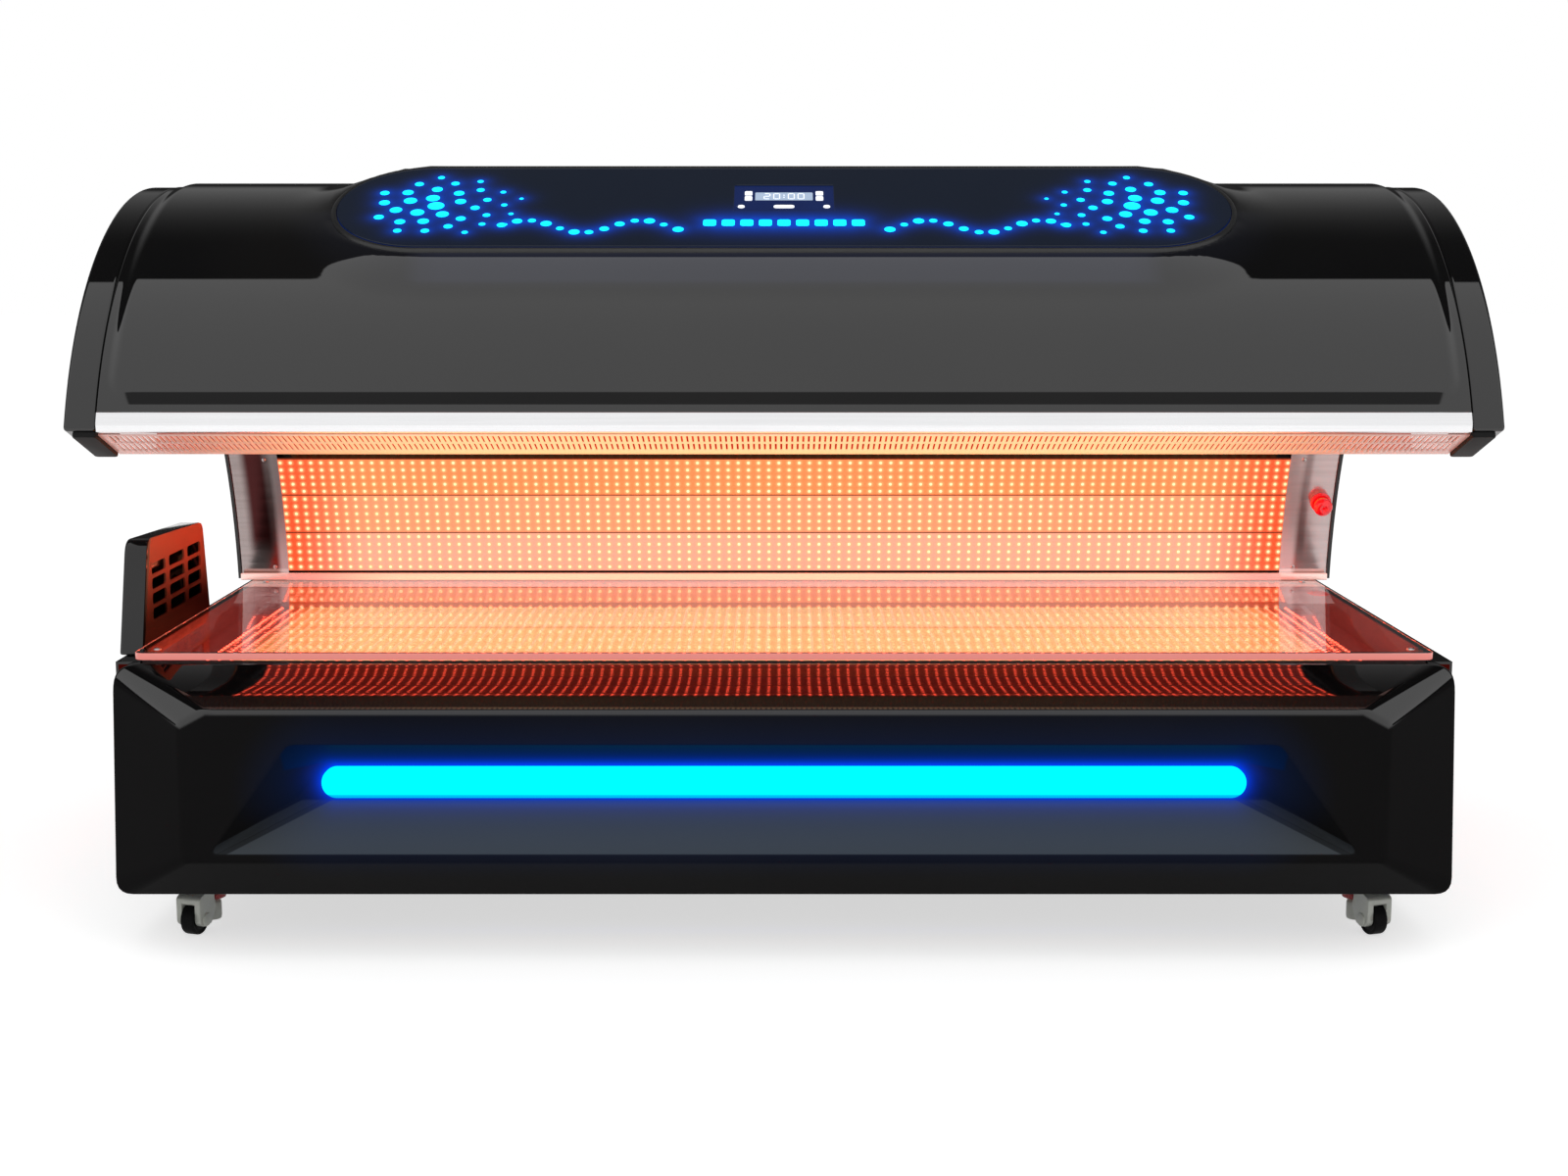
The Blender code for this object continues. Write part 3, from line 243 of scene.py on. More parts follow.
def turned(outline, sides, ridges=0, depth=0.0):
    """Rings of a shape turned about z from rows of (radius, height); ridges wave its radius."""
    outline = np.asarray(outline, float)
    angle = np.linspace(0, 2 * math.pi, sides, endpoint=False)
    radius = outline[:, :1] + depth * np.cos(ridges * angle)[None]
    height = np.broadcast_to(outline[:, 1:], radius.shape)
    return np.stack((radius * np.cos(angle), radius * np.sin(angle), height), -1)


def standing(rings):
    """A shape turned about z laid over so that its axis runs along x."""
    return np.stack((rings[..., 2], rings[..., 0], rings[..., 1]), -1)


def rings_at(row, stations):
    """Rings of an outline in (y, z), one at each x."""
    return np.array([np.column_stack((np.full(len(row), x), row)) for x in stations])


def cheek(outline, stations):
    """Rings of an outline in (y, z) at stations of (x, share), drawn to its middle by each share."""
    middle = outline.mean(0)
    return np.concatenate([rings_at(middle + (outline - middle) * share, [x]) for x, share in stations])


def rounded_row(points, radius, steps=5, hold=0.0):
    """An outline with each corner replaced by a curve that starts and ends a radius from it.
    Where hold is given, one more point stands before and after each curve, that share further out."""
    points = np.asarray(points, float)
    before = np.roll(points, 1, 0) - points
    after = np.roll(points, -1, 0) - points
    before *= np.minimum(radius / np.linalg.norm(before, axis=1), 0.45)[:, None]
    after *= np.minimum(radius / np.linalg.norm(after, axis=1), 0.45)[:, None]
    t = np.linspace(0, 1, steps)[None, :, None]
    curve = points[:, None] + (1 - t) ** 2 * before[:, None] + t ** 2 * after[:, None]
    if hold:
        lead = points + before * (1 + hold)
        trail = points + after * (1 + hold)
        curve = np.concatenate((lead[:, None], curve, trail[:, None]), 1)
    return curve.reshape(-1, points.shape[1])


cast_alloy = finish("cast_alloy", speckled((0.66, 0.68, 0.62), (0.55, 0.57, 0.51), 0.42, 0.15, 700, 0.3),
                    Metallic=0.1)
nylon = finish("wheel_nylon", speckled((0.006, 0.006, 0.007), (0.012, 0.012, 0.012), 0.5, 0.2, 500, 0.3),
               IOR=1.12)
thumb_red = finish("thumb_wheel_red", speckled((0.42, 0.012, 0.012), (0.30, 0.01, 0.01), 0.4, 0.2, 600, 0.2),
                   IOR=1.5)
fork = rounded_row([(-TRAIL - 0.016, 0.0195), (-TRAIL - 0.0185, 0.024), (-TRAIL - 0.0185, 0.0605),
                    (-TRAIL - 0.014, 0.0640), (-0.016, 0.0785), (-0.010, 0.0785), (-0.010, 0.060),
                    (-TRAIL + 0.024, 0.060), (-TRAIL + 0.028, 0.037), (-TRAIL + 0.014, 0.015),
                    (-TRAIL - 0.008, 0.015)], 0.003)
hood_angle = np.radians(np.linspace(30, 118, 20))
hood_in = np.column_stack((-TRAIL + SLOT_R * np.cos(hood_angle), WHEEL_R + SLOT_R * np.sin(hood_angle)))
hood_out = rounded_row([(-TRAIL - 0.0183, 0.0515), (-TRAIL - 0.0183, 0.0600), (-TRAIL - 0.014, 0.0637),
                        (-0.016, 0.0782), (-0.010, 0.0782), (-0.010, 0.060)], 0.003)
hood = np.concatenate((hood_in, hood_out))
bell = rounded_row([(0.0070, BELL_LOW), (0.0265, BELL_LOW), (0.0270, BELL_LOW + 0.024), (0.0220, BELL_TOP),
                    (0.0070, BELL_TOP)], 0.003)
wheel_side = [(0.0052, WHEEL_HALF), (0.0150, WHEEL_HALF), (0.0160, WHEEL_HALF - HUB_IN),
              (0.0195, WHEEL_HALF - HUB_IN), (0.0205, WHEEL_HALF), (WHEEL_R, WHEEL_HALF)]
wheel_row = rounded_row([(r, -x) for r, x in wheel_side] + wheel_side[::-1], 0.0035, 4)
axle_cap = [(0.0002, 0.0246), (0.0070, 0.0244), (0.0098, 0.0236), (0.0108, 0.0220), (0.0110, 0.0200)]
thumb_row = rounded_row([(0.0062, 0.0458), (0.0208, 0.0462), (0.0218, 0.0545), (0.0062, 0.0552)], 0.0012)
stem_rows = [(0.0002, 0.0110), (0.0122, 0.0110), (0.0132, 0.0120), (0.0140, 0.0165), (0.0140, 0.0370),
             (0.0132, 0.0400), (0.0105, 0.0430), (0.0060, 0.0435), (0.0058, 0.0445), (0.0058, 0.0800),
             (0.0002, 0.0802)]
fork_steps = ((0.0117, 0.985), (0.0124, 1.0), (0.0203, 1.0), (0.0214, 0.965))
axle = np.array((0, -TRAIL, WHEEL_R))
housing = [loft(turned(bell, 40), True), loft(rings_at(hood, (-HOOD_HALF, HOOD_HALF)))]
housing += [loft(cheek(fork, [(q * x, share) for x, share in fork_steps])) for q in (-1, 1)]
housing += [loft(standing(turned(axle_cap, 28)) * (q, 1, 1) + axle) for q in (-1, 1)]
tread = loft(standing(turned(wheel_row, 48)) + axle, True)
thumb = loft(turned(thumb_row, 96, RIDGES, RIDGE_DEEP), True)
pad = loft(turned(stem_rows, 40))
caster_pieces = (("caster_body_", gathered(*housing), cast_alloy, "caster_housing_", "caster_grey", True),
                 ("caster_tread_", tread, nylon, "caster_wheel_", "wheel_black", True),
                 ("caster_thumb_", thumb, thumb_red, "caster_foot_", "foot_red", True),
                 ("caster_pad_", pad, cast_alloy, "caster_foot_", "caster_grey", False))
for end in ("front", "rear"):
    for side, s in SIDES:
        spot = end + "_" + side
        low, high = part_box("caster_foot_" + spot)
        swivel = np.array((s * SWIVEL_X, (low.y + high.y) / 2, 0))
        c, d = math.cos(s * CASTER_YAW), math.sin(s * CASTER_YAW)
        yaw = np.array(((c, -d, 0), (d, c, 0), (0, 0, 1)))
        for name, (points, faces), material, body, slot, shows_node in caster_pieces:
            piece(name + spot, (points @ yaw.T + swivel, faces), material, body + spot,
                  [body + spot] if shows_node else ())

# Front cover: one moulded piece in high gloss black, faceted towards the corners, with a scoop
# for the light bar. Long narrow facets cut its top corners, and all its edges are softly rounded.
FACE_OUT = 0.089
FACE_HALF = 0.898
FACE_TOP = 0.393
FACE_LOW = 0.162
FACE_CUT = (0.039, 0.021)
OUTER_CUT = (0.022, 0.018)
LIP_HALF = 0.747
LIP_LOW_HALF = 0.862
LIP_TOP = 0.342
LIP_LOW = 0.172
DEEP_HALF = 0.707
DEEP_LOW_HALF = 0.7442
DEEP_TOP = 0.2955
DEEP_LOW = 0.2405
DEEP_BLACK = (0.0048, 0.0047, 0.0050)
SOFT_BLACK = (0.0068, 0.0064, 0.0064)
FACE_BLACK = (0.0125, 0.0122, 0.0128)
SHADE_BLACK = (0.003, 0.0028, 0.003)
# Painted grey reflection on the floor of the scoop of the gloss black moulding.
SCOOP_REFLECTION_GREY = (0.066, 0.076, 0.086)
FLOOR_HALF = (0.700, 0.852)
CREST_DROP = 0.006
FACET_SLOPE = 0.42
SHADE_Z = ((0.3955, 0.3975), (0.4080, 0.4098))
SHADE_END = (0.848, 0.858)
SHADE_SLOPE = 3.33
BEVEL_TURN = math.radians(10)
BEVEL_ROLL = (0.4085, 0.0335)
BEVEL_ROW = 17
SPILL_FAR = 0.0095
UNLIT = (0, 0, 0)
front_low, front_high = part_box("base_front_cover")
bar_low, bar_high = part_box("light_bar")
front_y = front_low.y + FACE_OUT
COVER_HALF = front_high.x
BAR_Z = (bar_low.z + bar_high.z) / 2
BAR_TALL = (bar_high.z - bar_low.z) / 2


def six_corners(half, top, low, half_low, cut, y_top, y_low):
    """Ring of the cover in x, y and z: both top corners cut off, cut[0] along the top and cut[1] down."""
    return np.array(((half - cut[0], front_y + y_top, top), (cut[0] - half, front_y + y_top, top),
                     (-half, front_y + y_top, top - cut[1]), (-half_low, front_y + y_low, low),
                     (half_low, front_y + y_low, low), (half, front_y + y_top, top - cut[1])))


def softened(rings, radii, steps=6, hold=0.1):
    """Rings with each inner one, k, drawn out into a curve that starts and ends radii[k] from it."""
    rows = [rings[0]]
    t = np.linspace(0, 1, steps)[:, None, None]
    for k in range(1, len(rings) - 1):
        back = rings[k - 1] - rings[k]
        ahead = rings[k + 1] - rings[k]
        back = back * np.minimum(radii[k] / np.linalg.norm(back, axis=1), 0.45)[:, None]
        ahead = ahead * np.minimum(radii[k] / np.linalg.norm(ahead, axis=1), 0.45)[:, None]
        rows.append(rings[k] + back * (1 + hold))
        rows += list(rings[k] + (1 - t) ** 2 * back + t ** 2 * ahead)
        rows.append(rings[k] + ahead * (1 + hold))
    rows.append(rings[-1])
    return np.array(rows)


def thicken(made, thickness):
    """Gives an open skin its wall, inwards from the face that is drawn."""
    wall = made.modifiers.new("wall", 'SOLIDIFY')
    wall.thickness = thickness
    wall.offset = -1


def gloss(rough, smudge, peel):
    """Look of polished black mouldings: faint smudges in the gloss and a slow orange peel."""
    def look(place):
        hand = place.noise(2.6, 5)
        return {"Base Color": hand.rise(0.35, 0.7).mix(DEEP_BLACK, SOFT_BLACK),
                "Roughness": hand.rise(0.45, 0.75) * smudge + rough,
                "Normal": place.noise(70, 3).bump(peel, 0.0004)}
    return look


def front_gloss(place):
    """The front cover's gloss: a bright coat on the top bevel and on the facets at its corners, a darker
    black under the coat there and painted as shade on the scoop's ceiling, a painted grey reflection on the
    satin floor of the scoop and fainter along its brim, and blue light from the bar painted on as a glow,
    falling off as exp(-distance / SPILL_FAR) with a faint wide rest."""
    x, y, z = place.axes()
    wide = abs(x)
    crest = (FACE_TOP - CREST_DROP) - (wide - (FACE_HALF - FACE_CUT[0])) * (FACE_CUT[1] / FACE_CUT[0])
    crest = crest.math("MINIMUM", FACE_TOP - CREST_DROP)
    ridge = (wide - FACE_HALF) * FACET_SLOPE + (FACE_TOP - FACE_CUT[1] - CREST_DROP)
    upper = (z - crest.math("MAXIMUM", ridge)).rise(-0.003, 0.003)
    flank = wide - (z - FACE_TOP) * SHADE_SLOPE
    shade = z.band(*SHADE_Z) * (1 - flank.rise(*SHADE_END))
    inside = y.rise(front_y - FACE_OUT + 0.0008, front_y - FACE_OUT + 0.0030)
    slope = (FLOOR_HALF[1] - FLOOR_HALF[0]) / (DEEP_LOW - LIP_LOW)
    brink = (DEEP_LOW - z) * slope + FLOOR_HALF[0] - wide
    scoop = z.band((LIP_LOW - 0.006, LIP_LOW - 0.002), (DEEP_LOW - 0.003, DEEP_LOW)) * inside
    ground = (brink.rise(0.012, 0.016) * 0.7 + brink.rise(-0.003, 0.001) * 0.3) * scoop
    brim_reflection = brink.band((-0.034, -0.030), (-0.004, 0.0)) * scoop * 0.35
    ceiling = z.band((DEEP_TOP, DEEP_TOP + 0.003), (LIP_TOP, LIP_TOP + 0.003)) * inside
    ceiling = ceiling * (1 - wide.rise(LIP_HALF, LIP_HALF + 0.006))
    past = (wide - (bar_high.x - BAR_TALL)).math("MAXIMUM", 0.0)
    off = z - BAR_Z
    away = ((past * past + off * off).math("SQRT") - BAR_TALL).math("MAXIMUM", 0.0)
    near = (away * (-1 / SPILL_FAR)).math("EXPONENT")
    rest = (1 - away.rise(0.0, 0.13)) * (ceiling * 0.030 + 0.024)
    plain = (upper + ceiling).mix(place.noise(2.6, 5).mix(FACE_BLACK, SOFT_BLACK), SHADE_BLACK)
    spill = (near * (ground * -0.5 + 1.0)).mix(UNLIT, (0, 0.045, 1.0))
    look = gloss(0.05, 0.06, 0.02)(place)
    # Painted grey reflection on the scoop's floor and brim; SHADE_BLACK darkens the coated bevel and paints
    # shade on the scoop's ceiling.
    look["Base Color"] = ground.mix(brim_reflection.mix(plain, SCOOP_REFLECTION_GREY), SCOOP_REFLECTION_GREY)
    look["Roughness"] = look["Roughness"] + ground * 0.35 + ceiling * 0.45
    look["Coat Weight"] = upper * (shade * -0.88 + 1.0)
    # Painted blue glow of the bar's light on the cover.
    look["Emission Color"] = rest.mix(spill, (0, 0.20, 1.0))
    return look


def rolled(made, points):
    """Shades the top bevel as a slow roll: normals lean back by BEVEL_TURN * t ** 1.3, t from 0 to 1 over
    its upper part, and less where they turn to the side."""
    mesh = made.data
    lean = np.empty(len(mesh.loops) * 3, np.float32)
    mesh.corner_normals.foreach_get("vector", lean)
    lean = lean.reshape(-1, 3)
    corner = np.empty(len(mesh.loops), np.int32)
    mesh.loops.foreach_get("vertex_index", corner)
    t = np.clip((points[corner, 2] - BEVEL_ROLL[0]) / BEVEL_ROLL[1], 0, 1) ** 1.3
    turn = BEVEL_TURN * t * np.clip(1 - np.abs(lean[:, 0]) * 4, 0, 1) * (lean[:, 1] < -0.02)
    c, d = np.cos(turn), np.sin(turn)
    lean = np.stack((lean[:, 0], lean[:, 1] * c + lean[:, 2] * d, lean[:, 2] * c - lean[:, 1] * d), -1)
    mesh.normals_split_custom_set(lean.tolist())


front_black = finish("front_gloss", front_gloss, IOR=1.05, Coat_IOR=1.62, Coat_Roughness=0.03)
outer = (COVER_HALF, front_high.z, front_low.z, COVER_HALF, OUTER_CUT)
front_corners = (((DEEP_HALF, DEEP_TOP, DEEP_LOW, DEEP_LOW_HALF, (0.006, 0.006), -0.010, -0.010), 0.003),
                 ((LIP_HALF, LIP_TOP, LIP_LOW, LIP_LOW_HALF, (0.010, 0.010), -FACE_OUT, -FACE_OUT), 0.014),
                 ((FACE_HALF, FACE_TOP, FACE_LOW, FACE_HALF, FACE_CUT, -FACE_OUT, -FACE_OUT), 0.010),
                 ((*outer, 0.030, 0.0), 0.026), ((*outer, 0.050, 0.050), 0.026))
front_rings = [rounded_row(six_corners(*ring), radius, 6, 0.1) for ring, radius in front_corners]
front_rows = softened(front_rings, (0, 0.005, 0.010, 0.004, 0))
bevel = np.linspace(front_rows[BEVEL_ROW - 1], front_rows[BEVEL_ROW], 16)[1:-1]
front_rows = np.concatenate((front_rows[:BEVEL_ROW], bevel, front_rows[BEVEL_ROW:]))
front_points, front_faces = loft(front_rows)
front_faces = outward(front_points, front_faces)[:2]
front_cover = piece("front_cover", (front_points, front_faces), front_black, "base",
                    ["base_front_cover"], 60, True)
rolled(front_cover, front_points)
thicken(front_cover, 0.0035)

# Light bar: an opal diffuser, a flat lozenge with a rolled front edge, pressed into the back of the
# scoop over its lamps. It is lit from within, so strongly that its face reads as plain cyan.


def lozenge(half_w, half_h, radius, steps):
    """Outline of a rectangle with round corners, each a quarter circle, corner by corner."""
    angle = np.radians(90 * np.arange(4)[:, None] + np.linspace(0, 90, steps + 1))
    curve = np.stack((np.cos(angle), np.sin(angle)), -1) * radius
    corners = np.array(((1, 1), (-1, 1), (-1, -1), (1, -1))) * (half_w - radius, half_h - radius)
    return (curve + corners[:, None]).reshape(-1, 2)


def level(loop, height):
    """An outline in u and v as a ring at one height."""
    return np.column_stack((loop, np.full(len(loop), height)))


def slab(half_w, half_h, radius, depth, edge, steps=8, rolls=5, both=False):
    """Rings of a lozenge plate: outline in u and v, from depth 0 to depth, rolled at its front edge and,
    where both is set, at its back edge too."""
    angle = np.linspace(0, math.pi / 2, rolls)
    front = [(edge * (1 - math.cos(a)), depth - edge + edge * math.sin(a)) for a in angle]
    back = [(inset, depth - height) for inset, height in front[::-1]] if both else [(0.0, 0.0)]
    return np.array([level(lozenge(half_w - inset, half_h - inset, max(radius - inset, 1e-4), steps), height)
                     for inset, height in back + front])


def lit_bar(place):
    """The diffuser's glow, even over its face and dimmer along its lower rolled edge."""
    x, y, z = place.axes()
    lower = 1 - z.rise(bar_low.z + 0.0055, bar_low.z + 0.0068)
    cloud = place.noise(6, 2) * 0.05
    return {"Emission Color": (lower * 0.8 + cloud).mix((0, 0.72, 0.74), (0, 0.24, 0.52)),
            "Roughness": place.noise(300, 2) * 0.1 + 0.3}


opal = finish("opal_diffuser", lit_bar, Base_Color=(0, 0.02, 0.03), Emission_Strength=1.6,
              Specular_IOR_Level=0.0)
bar = slab(bar_high.x, BAR_TALL, BAR_TALL - 0.0005, bar_high.y - bar_low.y, 0.007, 16, 6)
bar = np.stack((bar[..., 0], bar_high.y - bar[..., 2], BAR_Z + bar[..., 1]), -1)
piece("light_bar_face", loft(bar), opal, "base", ["light_bar"])

# End and rear covers: folded sheets in the same gloss black, screwed to the frame. The rear cover is
# satin and slotted, with the mains inlet let into it and the LED driver on the floor plate behind it.


def brushed(colour, other, rough, spread, stretch):
    """Look of brushed or rolled metal: fine lines drawn out one way, and broad uneven gloss."""
    def look(place):
        lines = place.noise(1.0, 3, stretch)
        broad = place.noise(5, 3)
        return {"Base Color": (lines * 0.7 + broad * 0.3).rise(0.3, 0.7).mix(colour, other),
                "Roughness": lines * spread + broad * (spread / 2) + (rough - spread * 0.75),
                "Normal": lines.bump(0.06, 0.0003)}
    return look


def stood(rings, face, at):
    """A shape turned about z stood on a spot, with its axis along face."""
    face = np.asarray(face, float) / np.linalg.norm(face)
    side = np.cross(face, (0, 0, 1) if abs(face[2]) < 0.9 else (0, 1, 0))
    side /= np.linalg.norm(side)
    up = np.cross(face, side)
    return rings[..., :1] * side + rings[..., 1:2] * up + rings[..., 2:] * face + np.asarray(at, float)


def screws(spots, face, radius):
    """Low pan heads with a round socket, at spots on a plane that faces the given way."""
    head = turned([(radius, -0.0004), (radius, 0.0006), (radius * 0.86, 0.0016), (radius * 0.5, 0.0020),
                   (radius * 0.42, 0.0020), (radius * 0.40, 0.0008)], 18)
    return gathered(*[loft(stood(head, face, spot)) for spot in spots])


cover_black = finish("cover_gloss", gloss(0.06, 0.08, 0.02), IOR=1.5)
satin_black = finish("satin_black",
                     speckled((0.012, 0.012, 0.013), (0.02, 0.02, 0.02), 0.34, 0.12, 420, 0.15), IOR=1.5)
plain_black = finish("moulded_black", speckled((0.016, 0.016, 0.017), (0.03, 0.03, 0.03), 0.5, 0.2, 500, 0.3),
                     IOR=1.5)
screw_steel = finish("screw_steel", brushed((0.6, 0.6, 0.6), (0.42, 0.42, 0.43), 0.3, 0.12, (400, 400, 400)),
                     Metallic=1.0)
driver_case = finish("driver_case",
                     brushed((0.55, 0.55, 0.55), (0.45, 0.45, 0.46), 0.38, 0.15, (4, 500, 500)), Metallic=0.9)
dress(cover_black, "base_end_cover_left", "base_end_cover_right")
dress(satin_black, "base_rear_cover")
dress(plain_black, "mains_inlet")
dress(driver_case, "led_driver")
rear_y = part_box("base_rear_cover")[1].y
rear_spots = [(x, rear_y, z) for x in (-1.0, -0.5, 0.0, 0.42, 0.68, 1.0) for z in (0.118, 0.420)]
piece("rear_cover_screws", screws(rear_spots, (0, 1, 0), 0.0045), screw_steel, "base")
for side, s in SIDES:
    end_spots = [(s * COVER_HALF, y, z) for y in (-0.42, -0.04, 0.36) for z in (0.120, 0.414)]
    piece("end_cover_screws_" + side, screws(end_spots, (s, 0, 0), 0.0042), screw_steel, "base")

# Bed lights: a white faced metal core board in the tray, with rows of small domed lamps soldered on it.
# The lamps are deep red and far brighter than the room, so they glow orange, and their orange light on the
# board round them is painted on as a glow.
LAMP_PITCH = 0.0188
LAMP_R = 0.0030
LAMP_COLUMNS = 100
LAMP_LIGHT = 12.0
BED_LIGHT = 1.9
BED_FADE = (0.075, 0.030)
TRAY_LIT = (0.985, 0.995)
EDGE_GLOW_RED = (0.90, 0.100, 0.028)
HALO_YELLOW = (1.0, 0.58, 0.24)
BED_GLOW = ((0.62, 0.44, 0.155), (0.72, 0.28, 0.06), HALO_YELLOW)
# The boards' base colour is kept dark under their painted glow.
BOARD_BASE = (0.10, 0.03, 0.02)
board_low, board_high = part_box("bed_led_board")


def lamp_domes(centres, face):
    """Eight-sided domes, one on each centre: two rings and a tip, standing along face."""
    face = np.asarray(face, float)
    side = np.array((1.0, 0, 0))
    angle = np.linspace(0, 2 * math.pi, 8, endpoint=False)
    ring = np.cos(angle)[:, None] * side + np.sin(angle)[:, None] * np.cross(face, side)
    dome = np.concatenate((ring, ring * 0.75 + face * 0.62, (face * 0.95)[None])) * LAMP_R
    points = (np.asarray(centres)[:, None] + dome).reshape(-1, 3)
    k = np.arange(8)
    walls = np.stack((k, (k + 1) % 8, 8 + (k + 1) % 8, 8 + k), -1)
    tips = np.stack((8 + k, 8 + (k + 1) % 8, np.full(8, 16)), -1)
    starts = (np.arange(len(centres)) * 17)[:, None, None]
    return points, [(block + starts).reshape(-1, block.shape[1]) for block in (walls, tips, k[None, ::-1])]


def lamp_grid(columns, rows, start, along):
    """Centres in rows that run along x and step from start by along."""
    x = (np.arange(columns) - (columns - 1) / 2) * LAMP_PITCH
    steps = np.asarray(start, float) + np.arange(rows)[:, None] * np.asarray(along, float)
    return (steps[:, None] + x[None, :, None] * np.array((1.0, 0, 0))).reshape(-1, 3)


def lamp_glow(place):
    """Lamp lenses: nearly even light, with a trace of difference from lamp to lamp."""
    return {"Emission Color": place.noise(55, 1).rise(0.3, 0.7).mix((1, 0.078, 0.038), (1, 0.088, 0.05)),
            "Roughness": place.noise(200, 1) * 0.1 + 0.1}


def lit_board(start, along, half, tones, ends=None, fade=None):
    """A board with its lamps' light painted on as glow: tones are its middle, its ends and the painted halo
    round each lamp. u counts columns along x, v counts rows from start along the board; both are folded to
    one cell. Where ends are given, the board's long edges lie there along its rows and keep only a dim
    painted red glow. Where fade is given, the painted light dies away between those two distances from its
    short ends."""
    pitch = float(np.linalg.norm(along))
    way = np.asarray(along, float) / pitch

    def look(place):
        x, y, z = place.axes()
        u = (x / LAMP_PITCH).math("FRACT") - 0.5
        run = y * float(way[1]) + z * float(way[2]) - float(np.asarray(start, float) @ way)
        v = (run / pitch + 0.5).math("FRACT") - 0.5
        gap = (u * u * LAMP_PITCH ** 2 + v * v * pitch ** 2).math("SQRT")
        # Painted light: halos round the lamps, and a glow that is redder towards the board's ends.
        halo = 1 - gap.rise(0.0026, 0.0080)
        inner = 1 - abs(x).rise(half - 0.17, half - 0.005)
        cloud = place.noise(4, 3) * 0.16 - 0.08
        glow = (halo * 0.6).mix((inner + cloud).mix(tones[1], tones[0]), tones[2])
        if ends:
            lit = run.band((ends[0] + 0.0004, ends[0] + 0.0010), (ends[1] - 0.0010, ends[1] - 0.0004))
            glow = lit.mix((0.12, 0.02, 0.008), glow)
        if fade:
            glow = abs(x).rise(half - fade[0], half - fade[1]).mix(glow, (0.10, 0.012, 0.004))
        return {"Emission Color": glow, "Roughness": place.noise(180, 2) * 0.15 + 0.2}
    return look


def flooded(place):
    """Black tray, with the red light of the lamps painted on it as a glow."""
    made = speckled((0.03, 0.02, 0.02), (0.05, 0.03, 0.03), 0.5, 0.2, 500, 0.2)(place)
    x, y, z = place.axes()
    # Painted red glow where the lamps' light floods the tray.
    under = y.rise(board_low.y + 0.015, board_low.y + 0.040) * (1 - abs(x).rise(*TRAY_LIT))
    made["Emission Color"] = (under * (place.noise(5, 2) * 0.3 + 0.75)).mix(UNLIT, (0.46, 0.022, 0.012))
    return made


lens = finish("lamp_lens", lamp_glow, Base_Color=(0.6, 0.1, 0.05), Emission_Strength=LAMP_LIGHT)
bed_rows = int((board_high.y - board_low.y - 0.012) / LAMP_PITCH)
bed_step = (0, LAMP_PITCH, 0)
bed_start = (0, (board_low.y + board_high.y) / 2 - (bed_rows - 1) / 2 * LAMP_PITCH, board_high.z)
bed_board = finish("bed_board", lit_board(bed_start, bed_step, board_high.x, BED_GLOW, None, BED_FADE),
                   Base_Color=BOARD_BASE, Emission_Strength=BED_LIGHT)
dress(bed_board, "bed_led_board")
dress(finish("flooded_tray", flooded, IOR=1.4), "bed_tray")
bed_grid = lamp_grid(LAMP_COLUMNS, bed_rows, bed_start, bed_step)
piece("bed_lamps", lamp_domes(bed_grid, (0, 0, 1)), lens, "base", turned_right=True)

# Bed sheet: 12 mm clear cast acrylic that the person lies on, with flame polished edges where the red
# light they pick up is painted on, held at its corners by four low screws.
SHEET_ROUND = 0.018
SHEET_EDGE = 0.0014
SHEET_SCREW_X = 0.970
sheet_low, sheet_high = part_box("bed_sheet")
sheet_half = (sheet_high - sheet_low) / 2
sheet_mid = (sheet_high + sheet_low) / 2


def clear_face(place):
    """Clear acrylic: fine wipe marks in its polish."""
    wipe = place.noise(1.0, 4, (3, 40, 40))
    return {"Roughness": wipe.rise(0.5, 0.85) * 0.03 + 0.004,
            "Base Color": place.noise(3, 2).mix((0.98, 0.93, 0.93), (0.96, 0.90, 0.90))}


def clear_edge(place):
    """Polished edge of the acrylic, with the red light scattered in it painted on as a reddish colour and a
    glow, brighter towards its top.
    """
    x, y, z = place.axes()
    band = place.noise(1.0, 3, (30, 30, 400))
    upper = z.rise(sheet_low.z, sheet_high.z)
    return {"Base Color": band.mix((0.72, 0.24, 0.21), (0.62, 0.19, 0.17)),
            "Roughness": band * 0.15 + 0.12,
            "Emission Color": (band * 0.4 + upper * 0.5).mix((0.50, 0.12, 0.10), (0.58, 0.20, 0.17))}


acrylic = finish("clear_acrylic", clear_face, Transmission_Weight=1.0, IOR=1.49)
acrylic_edge = finish("acrylic_edge", clear_edge, Emission_Strength=0.7, IOR=1.49)
sheet = slab(sheet_half.x, sheet_half.y, SHEET_ROUND, sheet_half.z * 2, SHEET_EDGE, 8, 4, True)
sheet = sheet + np.array((sheet_mid.x, sheet_mid.y, sheet_low.z))
clear_sheet = piece("clear_sheet", loft(sheet), acrylic, "base", ["bed_sheet"], 12)
clear_sheet.visible_glossy = False
clear_sheet.data.materials.append(acrylic_edge)
normals = np.zeros(len(clear_sheet.data.polygons) * 3, np.float32)
clear_sheet.data.polygons.foreach_get("normal", normals)
upright = np.abs(normals.reshape(-1, 3)[:, 2]) < 0.6
clear_sheet.data.polygons.foreach_set("material_index", upright.astype(np.int32))
sheet_rows = (sheet_low.y + 0.032, sheet_high.y - 0.035)
sheet_spots = [(s * SHEET_SCREW_X, y, sheet_high.z) for s in (-1, 1) for y in sheet_rows]
piece("sheet_screws", screws(sheet_spots, (0, 0, 1), 0.0060), screw_steel, "base")

